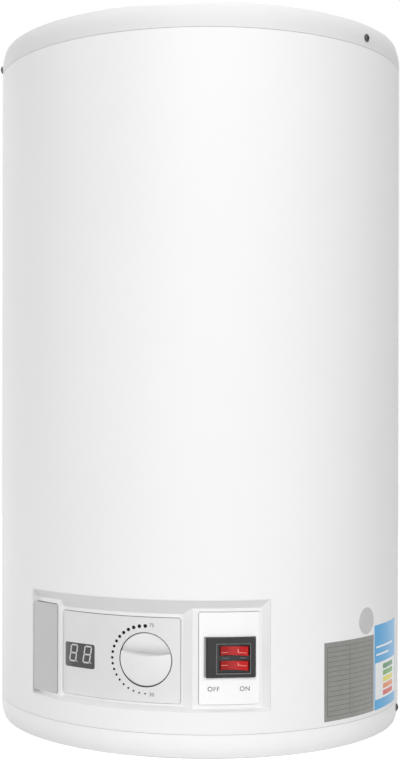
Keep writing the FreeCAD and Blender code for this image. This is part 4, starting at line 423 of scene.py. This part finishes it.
def add_disc(mesh, x, y, radius, thickness, sides=28):
    """A round plate whose faces are fans of triangles."""
    corners = [(x + radius * math.cos(2 * math.pi * i / sides),
                y + radius * math.sin(2 * math.pi * i / sides)) for i in range(sides)]
    low = [mesh.verts.new((a, b, 0)) for a, b in corners]
    high = [mesh.verts.new((a, b, thickness)) for a, b in corners]
    under = mesh.verts.new((x, y, 0))
    over = mesh.verts.new((x, y, thickness))
    for i in range(sides):
        j = (i + 1) % sides
        mesh.faces.new((low[i], low[j], high[j], high[i]))
        mesh.faces.new((high[i], high[j], over))
        mesh.faces.new((low[j], low[i], under))


def bridge(mesh, loops):
    """Joins closed loops of points, each to the next and the last to the first."""
    sides = len(loops[0])
    for one, two in zip(loops, loops[1:] + loops[:1]):
        for i in range(sides):
            j = (i + 1) % sides
            mesh.faces.new((one[i], one[j], two[j], two[i]))


def lettering(name, words, size, angle, radius, height, material, spacing=1.0):
    """Printed letters on the casing, centred at a place on it."""
    curve = bpy.data.curves.new(name + "_curve", "FONT")
    curve.body = words
    curve.size = size
    curve.align_x = "CENTER"
    curve.align_y = "CENTER"
    curve.space_character = spacing
    curve.extrude = SHEET / 2
    curve.resolution_u = LETTER_STEPS
    shape = bpy.data.objects.new(name + "_shape", curve)
    data = bpy.data.meshes.new_from_object(shape)
    mesh = bmesh.new()
    mesh.from_mesh(data)
    bmesh.ops.remove_doubles(mesh, verts=mesh.verts, dist=MERGE_DISTANCE)
    wrap(mesh, angle, radius + SHEET / 2, height)
    bpy.data.objects.remove(shape)
    bpy.data.curves.remove(curve)
    bpy.data.meshes.remove(data)
    make_piece(name, mesh, material, "casing")


# ---------------------------------------------------------------- display
DIGITS = {"left": (-19.75, 95.1), "right": (-15.1, 95.0)}
DIGIT_WIDTH = 8.0
DIGIT_HEIGHT = 16.4
DIGIT_SLANT = math.tan(math.radians(10))
SEGMENT = 1.5
SEGMENT_GAP = 0.15
POINT_RADIUS = 0.65
POINT_SHIFT = 1.9


def segment_corners(x0, y0, x1, y1):
    """A six-sided segment between two points on one upright or level line."""
    half = SEGMENT / 2
    gap = SEGMENT_GAP
    if y0 == y1:
        return [(x0 + gap, y0), (x0 + half + gap, y0 - half), (x1 - half - gap, y0 - half),
                (x1 - gap, y0), (x1 - half - gap, y0 + half), (x0 + half + gap, y0 + half)]
    return [(x0, y0 + gap), (x0 + half, y0 + half + gap), (x0 + half, y1 - half - gap),
            (x0, y1 - gap), (x0 - half, y1 - half - gap), (x0 - half, y0 + half + gap)]


def digit(name, angle, height):
    """A seven-segment figure with its point, all segments lit."""
    mesh = bmesh.new()
    right = DIGIT_WIDTH / 2
    top = DIGIT_HEIGHT / 2
    lines = [(-right, y, right, y) for y in (-top, 0, top)]
    lines += [(x, y, x, y + top) for x in (-right, right) for y in (-top, 0)]
    for line in lines:
        corners = [(x + y * DIGIT_SLANT, y) for x, y in segment_corners(*line)]
        add_prism(mesh, corners, SHEET)
    add_disc(mesh, right + POINT_SHIFT - top * DIGIT_SLANT, -top, POINT_RADIUS, SHEET)
    wrap(mesh, angle, FASCIA_FACE, height)
    make_piece(name, mesh, segment_glow, "casing")


for side, (digit_angle, digit_height) in DIGITS.items():
    digit(f"display_digit_{side}", digit_angle, digit_height)


# ---------------------------------------------------------------- dial
DIAL_WIDTH = 35.3
DIAL_RISE = 33.5

# The first dot stands at 12 o'clock, and the others follow anticlockwise, in degrees
DIAL_MARKS = 19
FIRST_MARK = 90
MARK_STEP = 10
LARGEST_MARK = 1.95
SMALLEST_MARK = 0.85
FIGURE_SIZE = 5.2
FIGURE_TURN = 1.75
FIGURE_RISE = DIAL_RISE + 0.7


def dial():
    """Row of dots round the knob's left half, with a figure at each end."""
    mesh = bmesh.new()
    for i in range(DIAL_MARKS):
        turn = math.radians(FIRST_MARK + MARK_STEP * i)
        share = i / (DIAL_MARKS - 1)
        radius = LARGEST_MARK + (SMALLEST_MARK - LARGEST_MARK) * share
        add_disc(mesh, DIAL_WIDTH * math.cos(turn), DIAL_RISE * math.sin(turn), radius, SHEET)
    wrap(mesh, KNOB_ANGLE, FASCIA_FACE, KNOB_HEIGHT)
    make_piece("dial_marks", mesh, print_and_shade_ink, "casing")
    for end, figure, rise in (("high", "75", FIGURE_RISE), ("low", "30", -FIGURE_RISE)):
        lettering(f"dial_figure_{end}", figure, FIGURE_SIZE, KNOB_ANGLE + FIGURE_TURN,
                  FASCIA_FACE, KNOB_HEIGHT + rise, grey_ink)


dial()


# ---------------------------------------------------------------- switch
FRAME_DEPTH = 4.5
SWITCH_FACE = PLATE_FACE + FRAME_DEPTH

# The well in the switch's frame, measured from the frame's middle, and the painted highlight
# on the rim round it
WELL_LEFT = -13.9
WELL_RIGHT = 18.7
WELL_LOW = -15.1
WELL_HIGH = 13.1
RIM_GAP = 0.1
RIM_SIDE = 0.7
RIM_TOP = 0.6
RIM_FOOT = 0.9
RIM_DEPTH = 0.1
RIM_CORNER = 0.05

# Row of each rocker, and heights on it of its painted highlight streaks and of the top of its
# printed stroke
ROCKERS = {"upper": (6.55, -2.0, 1.7), "lower": (-7.75, -0.2, 2.4)}
ROCKER_SHIFT = 3.7
ROCKER_DISH = 27.1
ROCKER_WAIST = 3.2
ROCKER_SINK = 0.8
ROCKER_TILT = 10.0
HIGHLIGHT_STREAKS = ((-12.3, -6.2, 0.5), (4.4, 12.3, 0.6))
STROKE = (3.7, 4.5)
STROKE_FOOT = -0.1
STREAK_DEPTH = 0.12
STREAK_CORNER = 0.2

# The bar between the rockers and its two dashes of painted highlight
BAR_DROP = 1.8
BAR_HEIGHT = -0.6
DASHES = ((-12.3, -5), (5.5, 11.8))
DASH_HALF = 0.25
DASH_DEPTH = 0.1
DASH_CORNER = 0.2

SWITCH_WORDS = {"OFF": 19.85, "ON": 27.9}
WORD_SIZE = 6.4
WORD_HEIGHT = 68.6
WORD_SPACING = 1.1


def fit_rocker(mesh, row):
    """Bends a flat design on to a rocker's hollow front, as the rocker stands at rest."""
    tilt = math.radians(ROCKER_TILT)
    aside = sideways_at(SWITCH_ANGLE)
    for vertex in mesh.verts:
        across, up, out = vertex.co
        front = ROCKER_WAIST + ROCKER_DISH - math.sqrt(ROCKER_DISH ** 2 - across ** 2) + out
        shift = across * math.cos(tilt) - front * math.sin(tilt)
        stand = across * math.sin(tilt) + front * math.cos(tilt)
        vertex.co = spot(SWITCH_ANGLE, PLATE_FACE + stand - ROCKER_SINK,
                         SWITCH_HEIGHT + row + up) + (ROCKER_SHIFT + shift) * aside


def rocker_streaks_and_stroke(name, row, streak_height, stroke_top):
    """Short pale streaks of painted highlight on both halves of a rocker, and its printed
    upright stroke for the on side.
    """
    mesh = bmesh.new()
    for start, end, rise in HIGHLIGHT_STREAKS:
        add_sheet(mesh, start, streak_height, end, streak_height + rise, STREAK_CORNER, STREAK_DEPTH)
    left, right = STROKE
    add_sheet(mesh, left, streak_height + STROKE_FOOT, right, stroke_top, STREAK_CORNER, STREAK_DEPTH, 2)
    fit_rocker(mesh, row)
    make_piece(f"{name}_rocker_marks", mesh, rocker_mark, f"{name}_rocker")


def rim_highlight():
    """Thin grey line of painted highlight on the edge round the well that the rockers lie in."""
    foot, head = WELL_LOW - RIM_FOOT, WELL_HIGH + RIM_TOP
    inner_left, inner_right = WELL_LEFT - RIM_GAP, WELL_RIGHT + RIM_GAP
    mesh = bmesh.new()
    for x0, y0, x1, y1 in ((WELL_LEFT - RIM_SIDE, foot, inner_left, head),
                           (inner_right, foot, WELL_RIGHT + RIM_SIDE, head),
                           (inner_left, WELL_HIGH + RIM_GAP, inner_right, head),
                           (inner_left, foot, inner_right, WELL_LOW - RIM_GAP)):
        add_sheet(mesh, x0, y0, x1, y1, RIM_CORNER, RIM_DEPTH, 1)
    lay(mesh, SWITCH_ANGLE, SWITCH_FACE, SWITCH_HEIGHT)
    make_piece("switch_rim_highlight", mesh, switch_highlight_grey, "casing")


def bar_highlight_dashes():
    """Two dashes of painted highlight on the bar between the rockers."""
    mesh = bmesh.new()
    for x0, x1 in DASHES:
        add_sheet(mesh, ROCKER_SHIFT + x0, BAR_HEIGHT - DASH_HALF, ROCKER_SHIFT + x1,
                  BAR_HEIGHT + DASH_HALF, DASH_CORNER, DASH_DEPTH, 1)
    lay(mesh, SWITCH_ANGLE, SWITCH_FACE - BAR_DROP, SWITCH_HEIGHT)
    make_piece("switch_highlight_dashes", mesh, switch_highlight_grey, "casing")


for rocker, (rocker_row, streak_place, stroke_end) in ROCKERS.items():
    rocker_streaks_and_stroke(rocker, rocker_row, streak_place, stroke_end)
rim_highlight()
bar_highlight_dashes()
for word, word_angle in SWITCH_WORDS.items():
    lettering(f"switch_word_{word.lower()}", word, WORD_SIZE, word_angle, PLATE_FACE,
              WORD_HEIGHT, print_and_shade_ink, WORD_SPACING)


# ---------------------------------------------------------------- labels on the shell
# A label's rise is half its height
RATING_PLATE = {"angles": (50.1, 70.25), "height": 69.05, "rise": 39.65, "thickness": 0.15}
COLOUR_LABEL = {"angles": (70.7, 86.75), "height": 73.25, "rise": 44.25, "thickness": 0.12}
LABEL_CORNER = 0.6

# The silver plate's table, whose upright rules stand at shares of half its width
TABLE_ROWS = 14
TABLE_SIDE_MARGIN = 4
TABLE_TOP_MARGIN = 5
UPRIGHT_RULES = (-1, -0.1, 1)
RULE_HALF = 0.2
RULE_CORNER = 0.1

# The round sticker
STICKER_ANGLE = 66.6
STICKER_HEIGHT = 124.7
STICKER_RADIUS = 13.75
STICKER_DEPTH = 0.12
STICKER_SIDES = 64

# The blue label's white field and its lines, each from one height to another and up to a share
# of half the label's width
FIELD_MARGIN = 1.5
FIELD_HEIGHTS = (-34, 4.5)
LINE_MARGIN = 4
LINES = ((12, 14, 0.2), (20, 22, 0.6))
LINE_CORNER = 0.4

# The blue label's bars, from the top bar down, between shares of half the label's width
BAR_COLOURS = {"green": (44, 120, 60), "lime": (96, 160, 66), "yellow": (226, 214, 60),
               "orange": (226, 130, 62), "red": (206, 58, 52)}
TOP_BAR = 1.5
BAR_STEP = 7.0
BAR_RISE = 5.2
BAR_SPAN = (-0.35, 0.62)
BAR_CORNER = 0.5
BAR_COLUMNS = 8


def half_width(label):
    """Half a label's length round the shell."""
    start, end = label["angles"]
    return math.radians(end - start) / 2 * SHELL_RADIUS


def put_on_shell(name, mesh, label, material):
    """Makes a flat design a piece at a label's place on the shell."""
    start, end = label["angles"]
    wrap(mesh, (start + end) / 2, SHELL_RADIUS, label["height"])
    make_piece(name, mesh, material, "casing")


def plain_label(name, label, material):
    """A label's sheet, without its print."""
    half, rise = half_width(label), label["rise"]
    mesh = bmesh.new()
    add_sheet(mesh, -half, -rise, half, rise, LABEL_CORNER, label["thickness"])
    put_on_shell(name, mesh, label, material)


def rating_plate():
    """Silver plate with an empty ruled table."""
    plain_label("rating_plate", RATING_PLATE, silver_foil)
    rules = bmesh.new()
    inner = half_width(RATING_PLATE) - TABLE_SIDE_MARGIN
    top = RATING_PLATE["rise"] - TABLE_TOP_MARGIN
    base = RATING_PLATE["thickness"]
    for i in range(TABLE_ROWS + 1):
        y = top - 2 * top * i / TABLE_ROWS
        add_sheet(rules, -inner, y - RULE_HALF, inner, y + RULE_HALF, RULE_CORNER, SHEET,
                  base=base)
    for share in UPRIGHT_RULES:
        x = share * inner
        add_sheet(rules, x - RULE_HALF, -top, x + RULE_HALF, top, RULE_CORNER, SHEET, 1, base)
    put_on_shell("rating_plate_rules", rules, RATING_PLATE, grey_ink)


def round_sticker():
    """Bare round foil above the silver plate."""
    mesh = bmesh.new()
    add_disc(mesh, 0, 0, STICKER_RADIUS, STICKER_DEPTH, STICKER_SIDES)
    wrap(mesh, STICKER_ANGLE, SHELL_RADIUS, STICKER_HEIGHT)
    make_piece("round_sticker", mesh, seal_foil, "casing")


def colour_label():
    """Blue label with a white field, five plain bars and two plain lines."""
    plain_label("colour_label", COLOUR_LABEL, blue_print)
    half, base = half_width(COLOUR_LABEL), COLOUR_LABEL["thickness"]
    field = bmesh.new()
    low, high = FIELD_HEIGHTS
    add_sheet(field, FIELD_MARGIN - half, low, half - FIELD_MARGIN, high, LABEL_CORNER, SHEET,
              base=base)
    for low, high, share in LINES:
        add_sheet(field, LINE_MARGIN - half, low, share * half, high, LINE_CORNER, SHEET,
                  base=base)
    put_on_shell("colour_label_field", field, COLOUR_LABEL, white_print)
    left, right = [share * half for share in BAR_SPAN]
    for i, (colour_name, colour) in enumerate(BAR_COLOURS.items()):
        bar = bmesh.new()
        top = TOP_BAR - BAR_STEP * i
        add_sheet(bar, left, top - BAR_RISE, right, top, BAR_CORNER, SHEET, BAR_COLUMNS,
                  base + SHEET)
        put_on_shell(f"colour_label_bar_{colour_name}", bar, COLOUR_LABEL,
                     surface(f"print_{colour_name}", colour, 0.34, (80, 3)))


rating_plate()
round_sticker()
colour_label()


# ---------------------------------------------------------------- seals and painted shade
# Floor radius, angles from and to, heights from and to, and colour of the painted shade strip in
# the groove round each plate
PLATE_GAP_SHADES = {
    "fascia_gap_shade": (RECESS_RADIUS, (-23.45, 11.35), (53, 137), gap_shade_dark),
    "strip_gap_shade": (LAND_RADIUS, (-33.9, -25.05), (51.4, 142.6), gap_shade_dark),
    "switch_plate_gap_shade": (LAND_RADIUS, (16.15, 31.8), (53.5, 143.9), gap_shade_mid),
}
GAP_STRIP_WIDTH = 0.5
GAP_STRIP_CLEARANCE = 0.05
GAP_STRIP_DEPTH = 0.7
GAP_STRIP_SINK = 0.75
GAP_STRIP_CORNER = 0.02
GAP_STRIP_COLUMNS = 40

# The gap round the control panel's frame, which reaches as far to the left as to the right
BEZEL_LOW = 46.52
BEZEL_HIGH = 156.48
BEZEL_HALF = 135.02
BEZEL_SEAL_RISE = 0.25
BEZEL_SEAL_WIDTH = 0.3
BEZEL_SEAL_DEPTH = 0.6
BEZEL_SEAL_COLUMNS = 60

# Black ring of painted shade in the gap round the knob
KNOB_SHADE_RADII = (26.95, 27.25)
KNOB_SHADE_DEPTHS = (-1.8, -0.25)
KNOB_SHADE_SIDES = 120

# Left and right end, half the height, thickness and colour of the strips beside the switch: the
# painted shadow on its left and its right-hand foot
SWITCH_STRIPS = {
    "switch_shadow_strip": (-26.3, -24.3, 20.0, 0.25, switch_shadow_grey),
    "switch_foot": (24.3, 25.5, 19.7, 0.6, black_plastic),
}
STRIP_CORNER = 0.3
STRIP_SINK = 0.05

# Heights of the seams, and their painted shade rings' depths below the shell and edges above
# those heights
SEAMS = {"low": 24.2, "high": 717.4}
SEAM_DEPTHS = (1, 0.35)
SEAM_RISES = (0.03, 0.37)
SEAM_SIDES = 180


def plate_gap_shade(name, radius, angles, heights, material):
    """Dark strip of painted shade in the groove round a plate, in four runs."""
    left, right = angles
    low, high = heights
    half = math.radians(right - left) / 2 * radius
    rise = (high - low) / 2
    mesh = bmesh.new()
    for x0, y0, x1, y1, columns in (
            (-half, rise + GAP_STRIP_CLEARANCE, half, rise + GAP_STRIP_WIDTH, GAP_STRIP_COLUMNS),
            (-half, -rise - GAP_STRIP_WIDTH, half, -rise - GAP_STRIP_CLEARANCE, GAP_STRIP_COLUMNS),
            (-half - GAP_STRIP_WIDTH, -rise, -half - GAP_STRIP_CLEARANCE, rise, 1),
            (half + GAP_STRIP_CLEARANCE, -rise, half + GAP_STRIP_WIDTH, rise, 1)):
        add_sheet(mesh, x0, y0, x1, y1, GAP_STRIP_CORNER, GAP_STRIP_DEPTH, columns)
    wrap(mesh, (left + right) / 2, radius - GAP_STRIP_SINK, (low + high) / 2)
    make_piece(name, mesh, material, "casing")


def bezel_seal():
    """Pale strip that fills the gap between the control panel's frame and the shell."""
    half, rise = BEZEL_HALF, (BEZEL_HIGH - BEZEL_LOW) / 2
    level = BEZEL_SEAL_RISE
    mesh = bmesh.new()
    for x0, y0, x1, y1, columns in (
            (-half, rise - level, half, rise, BEZEL_SEAL_COLUMNS),
            (-half, -rise, half, level - rise, BEZEL_SEAL_COLUMNS),
            (-half, level - rise, BEZEL_SEAL_WIDTH - half, rise - level, 1),
            (half - BEZEL_SEAL_WIDTH, level - rise, half, rise - level, 1)):
        add_sheet(mesh, x0, y0, x1, y1, GAP_STRIP_CORNER, BEZEL_SEAL_DEPTH, columns)
    wrap(mesh, 0, SHELL_RADIUS - GAP_STRIP_SINK, (BEZEL_LOW + BEZEL_HIGH) / 2)
    make_piece("bezel_seal", mesh, bezel_plastic, "casing")


def knob_gap_shade():
    """Black ring of painted shade that lines the gap between the knob and the fascia."""
    inner, outer = KNOB_SHADE_RADII
    deep, near = KNOB_SHADE_DEPTHS
    turns = [2 * math.pi * i / KNOB_SHADE_SIDES for i in range(KNOB_SHADE_SIDES)]
    mesh = bmesh.new()
    loops = []
    for radius, rise in ((inner, deep), (outer, deep), (outer, near), (inner, near)):
        loops.append([mesh.verts.new((radius * math.cos(turn), radius * math.sin(turn), rise))
                      for turn in turns])
    bridge(mesh, loops)
    wrap(mesh, KNOB_ANGLE, FASCIA_FACE, KNOB_HEIGHT)
    make_piece("knob_gap_shade", mesh, print_and_shade_ink, "casing")


def switch_strip(name, left, right, rise, thickness, material):
    """Upright strip beside the switch's frame: grey painted shadow on its left, or its thin
    right-hand foot.
    """
    mesh = bmesh.new()
    add_sheet(mesh, left, -rise, right, rise, STRIP_CORNER, thickness, 2)
    wrap(mesh, SWITCH_ANGLE, PLATE_FACE - STRIP_SINK, SWITCH_HEIGHT)
    make_piece(name, mesh, material, "casing")


def seam_shade_ring(name, height):
    """Grey ring of painted shade that fills a seam between the shell and an end cover."""
    inner, outer = [SHELL_RADIUS - depth for depth in SEAM_DEPTHS]
    low, high = SEAM_RISES
    mesh = bmesh.new()
    loops = []
    for radius, rise in ((inner, low), (outer, low), (outer, high), (inner, high)):
        loops.append([mesh.verts.new(spot(360 * i / SEAM_SIDES, radius, height + rise))
                      for i in range(SEAM_SIDES)])
    bridge(mesh, loops)
    make_piece(name, mesh, seam_shade_grey, "casing", smooth=True)


# Dark strips of painted shade in the grooves round the plates
for gap_shade_name, seal in PLATE_GAP_SHADES.items():
    plate_gap_shade(gap_shade_name, *seal)
bezel_seal()
knob_gap_shade()
for strip_name, strip in SWITCH_STRIPS.items():
    switch_strip(strip_name, *strip)
for seam_name, seam_height in SEAMS.items():
    seam_shade_ring(f"seam_shade_ring_{seam_name}", seam_height)


# ---------------------------------------------------------------- pipes and screws
PIPE_X = 50
PIPE_Y = 75
PIPE_FOOT = -28
PIPE_LENGTH = 160
PIPE_BORE = 7.5
PIPE_RADIUS = 10.65
PIPE_SIDES = 56
BORE_EDGE = 0.3
PIPE_EDGE = 0.5

# The thread deepens over its lead from the foot, and runs out to a least share of its depth
THREAD_LENGTH = 25
THREAD_CREST = 10.45
THREAD_ROOT = 9.35
THREAD_PITCH = 1.814
PITCH_STEPS = 8
FLANK_STEEPNESS = 1.3
CREST_FLAT = 0.15
THREAD_LEAD = 1.5
THREAD_RUN_OUT = 2
LEAST_RUN_OUT = 0.2
THREAD_SHOULDER = 0.4
CHAMFER_RISE = 0.8
CHAMFER_DEPTH = 0.6

# Height of each ring of screws and their angles, and the crosses of painted shade in their heads
TOP_SCREWS = (727.4, (-66, 66, 180))
BOTTOM_SCREWS = (17.7, (-90, 90))
CROSS_REACH = 2.2
CROSS_HALF = 0.45
CROSS_DEPTHS = (0.03, 0.035)
CROSS_CORNER = 0.2
CROSS_SINK = 0.03


def thread_radius(turn, rise):
    """Outer radius of a pipe at a share of one turn and a height above its foot."""
    if rise > THREAD_LENGTH:
        return PIPE_RADIUS
    wave = abs((rise / THREAD_PITCH - turn) % 1 - 0.5) * 2
    share = min(max(wave * FLANK_STEEPNESS - CREST_FLAT, 0), 1)
    lead = min(rise / THREAD_LEAD, 1)
    run_out = min((THREAD_LENGTH - rise) / THREAD_RUN_OUT + LEAST_RUN_OUT, 1)
    depth = share * (THREAD_CREST - THREAD_ROOT) * (lead * run_out)
    chamfer = (1 - min(rise / CHAMFER_RISE, 1)) * CHAMFER_DEPTH
    return THREAD_CREST - depth - chamfer


def threaded_pipe(name, node, x, y):
    """Steel pipe with a screw thread at its lower end and an open bore."""
    steps = int(THREAD_LENGTH / THREAD_PITCH * PITCH_STEPS)
    rises = [THREAD_PITCH * i / PITCH_STEPS for i in range(steps + 1)]
    rises += [THREAD_LENGTH, THREAD_LENGTH + THREAD_SHOULDER, PIPE_LENGTH - PIPE_EDGE]
    rings = [[(thread_radius(i / PIPE_SIDES, rise), rise) for i in range(PIPE_SIDES)]
             for rise in rises]
    for radius, rise in ((PIPE_RADIUS - PIPE_EDGE, PIPE_LENGTH),
                         (PIPE_BORE + BORE_EDGE, PIPE_LENGTH),
                         (PIPE_BORE, PIPE_LENGTH - BORE_EDGE),
                         (PIPE_BORE, BORE_EDGE),
                         (PIPE_BORE + BORE_EDGE, 0)):
        rings.append([(radius, rise)] * PIPE_SIDES)
    mesh = bmesh.new()
    loops = []
    for ring in rings:
        loop = []
        for i, (radius, rise) in enumerate(ring):
            turn = 2 * math.pi * i / PIPE_SIDES
            place = Vector((x + radius * math.cos(turn), AXIS_Y + y + radius * math.sin(turn),
                            LOWER_RIM + PIPE_FOOT + rise)) / 1000
            loop.append(mesh.verts.new(place))
        loops.append(loop)
    bridge(mesh, loops)
    piece = make_piece(name, mesh, zinc, "casing", smooth=True)
    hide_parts(node)


def screw_cross_shades(name, node, height, angles):
    """Flat black crosses of painted shade, standing in for the recesses in the heads of one ring
    of screws.
    """
    reach = max(math.hypot(vertex.co.x, vertex.co.y - AXIS_Y / 1000)
                for vertex in NODES[node].data.vertices) * 1000
    arms = ((CROSS_REACH, CROSS_HALF), (CROSS_HALF, CROSS_REACH))
    for i, angle in enumerate(angles):
        mesh = bmesh.new()
        for (aside, up), depth in zip(arms, CROSS_DEPTHS):
            add_sheet(mesh, -aside, -up, aside, up, CROSS_CORNER, depth, 2)
        lay(mesh, angle, reach - CROSS_SINK, height)
        make_piece(f"{name}_{i}", mesh, print_and_shade_ink, "casing")


threaded_pipe("cold_pipe_threaded", "cold_inlet_pipe", PIPE_X, PIPE_Y)
threaded_pipe("hot_pipe_threaded", "hot_outlet_pipe", -PIPE_X, PIPE_Y)
screw_cross_shades("top_screw_cross_shade", "top_cover_screws", *TOP_SCREWS)
screw_cross_shades("bottom_screw_cross_shade", "bottom_cover_screws", *BOTTOM_SCREWS)


# ---------------------------------------------------------------- light and surroundings
WHITE = (1, 1, 1, 1)
AMBIENT = 0.15
AIM_HEIGHT = 370

# Rows of like lamps: distance from the axis, height, width, length, and each lamp's angle and
# power in watts
LAMP_ROWS = (
    (2600, 420, 800, 2200, {"left_lamp": (-92, 8.4), "left_back_lamp": (-120, 8.2),
                            "back_lamp_left": (-150, 5), "back_lamp": (-164, 24),
                            "back_lamp_right": (150, 3)}),
    (7500, 3565, 2700, 3900, {"left_raised_lamp": (-60, 46), "key_lamp_left": (5, 190),
                              "key_lamp": (30, 181), "key_lamp_right": (55, 117)}),
    (1900, -180, 1400, 600, {"low_lamp": (16, 4.2), "low_lamp_left": (-80, 3.2)}),
    (150, 3000, 1000, 1000, {"top_lamp": (16, 26)}),
)

# The floor, which is seen as white from the end of its glow outwards
FLOOR_DROP = 328
FLOOR_REACH = 6000
FLOOR_STEPS = 12
FLOOR_COLOUR = (200, 200, 200)
FLOOR_BOUNCE = (180, 180, 180)
GLOW_START = 300
GLOW_END = 950
LEAST_GLOW = 0.4


def soft_box(name, angle, distance, height, width, length, power):
    """A rectangular lamp that faces the heater's middle."""
    data = bpy.data.lights.new(name, "AREA")
    data.shape = "RECTANGLE"
    data.size = width / 1000
    data.size_y = length / 1000
    data.energy = power
    lamp = bpy.data.objects.new(name, data)
    bpy.context.scene.collection.objects.link(lamp)
    place = spot(angle, distance, height)
    target = spot(0, 0, AIM_HEIGHT)
    lamp.location = place
    lamp.rotation_mode = "QUATERNION"
    lamp.rotation_quaternion = (target - place).to_track_quat("-Z", "Y")


def seen_directly(nodes, links):
    """A value that is one for rays that show the surroundings rather than light them."""
    path = add_node(nodes, "LightPath")
    total = path.outputs["Is Camera Ray"]
    for name in ("Is Glossy Ray", "Is Transmission Ray"):
        largest = add_node(nodes, "Math")
        largest.operation = "MAXIMUM"
        links.new(total, largest.inputs[0])
        links.new(path.outputs[name], largest.inputs[1])
        total = largest.outputs["Value"]
    return total


def surroundings():
    """White all round where it is seen, and faint light from all round."""
    world = bpy.data.worlds.new("studio")
    bpy.context.scene.world = world
    world.use_nodes = True
    nodes, links = world.node_tree.nodes, world.node_tree.links
    shown = nodes["Background"]
    shown.inputs["Color"].default_value = WHITE
    shown.inputs["Strength"].default_value = 1
    lighting = add_node(nodes, "Background", Color=WHITE, Strength=AMBIENT)
    mix = add_node(nodes, "MixShader")
    links.new(seen_directly(nodes, links), mix.inputs["Fac"])
    links.new(lighting.outputs["Background"], mix.inputs[1])
    links.new(shown.outputs["Background"], mix.inputs[2])
    links.new(mix.outputs["Shader"], nodes["World Output"].inputs["Surface"])


def floor_material(low):
    """Pale floor that keeps the shadow near the heater and is seen as white further out."""
    material = bpy.data.materials.new("studio_floor")
    material.use_nodes = True
    nodes, links = material.node_tree.nodes, material.node_tree.links
    nodes.remove(nodes["Principled BSDF"])
    bounce = add_node(nodes, "BsdfDiffuse", Color=linear(FLOOR_BOUNCE))
    matt = add_node(nodes, "BsdfDiffuse", Color=linear(FLOOR_COLOUR))
    glow = add_node(nodes, "Emission", Color=WHITE)
    place = add_node(nodes, "TexCoord")
    away = add_node(nodes, "VectorMath")
    away.operation = "DISTANCE"
    away.inputs[1].default_value = (0, AXIS_Y / 1000, low)
    links.new(place.outputs["Object"], away.inputs[0])
    fade = add_node(nodes, "MapRange", From_Min=GLOW_START / 1000, From_Max=GLOW_END / 1000,
                    To_Min=LEAST_GLOW, To_Max=1)
    fade.interpolation_type = "SMOOTHSTEP"
    links.new(away.outputs["Value"], fade.inputs["Value"])
    links.new(fade.outputs["Result"], glow.inputs["Strength"])
    shown = add_node(nodes, "AddShader")
    links.new(matt.outputs["BSDF"], shown.inputs[0])
    links.new(glow.outputs["Emission"], shown.inputs[1])
    pick = add_node(nodes, "MixShader")
    links.new(seen_directly(nodes, links), pick.inputs["Fac"])
    links.new(bounce.outputs["BSDF"], pick.inputs[1])
    links.new(shown.outputs["Shader"], pick.inputs[2])
    links.new(pick.outputs["Shader"], nodes["Material Output"].inputs["Surface"])
    return material


def studio_floor():
    """Floor under the heater, which hangs well above it."""
    mesh = bmesh.new()
    low = (LOWER_RIM - FLOOR_DROP) / 1000
    reach = FLOOR_REACH / 1000
    stops = [reach * (2 * i / FLOOR_STEPS - 1) for i in range(FLOOR_STEPS + 1)]
    grid = [[mesh.verts.new((x, y, low)) for x in stops] for y in stops]
    for near, far in zip(grid, grid[1:]):
        for i in range(FLOOR_STEPS):
            mesh.faces.new((near[i], near[i + 1], far[i + 1], far[i]))
    data = bpy.data.meshes.new("studio_floor")
    mesh.to_mesh(data)
    mesh.free()
    floor = bpy.data.objects.new("studio_floor", data)
    bpy.context.scene.collection.objects.link(floor)
    data.materials.append(floor_material(low))


for lamp_distance, lamp_height, lamp_width, lamp_length, lamps in LAMP_ROWS:
    for lamp_name, (lamp_angle, watts) in lamps.items():
        soft_box(lamp_name, lamp_angle, lamp_distance, lamp_height, lamp_width, lamp_length,
                 watts)
surroundings()
studio_floor()
bpy.context.scene.view_settings.view_transform = "Standard"
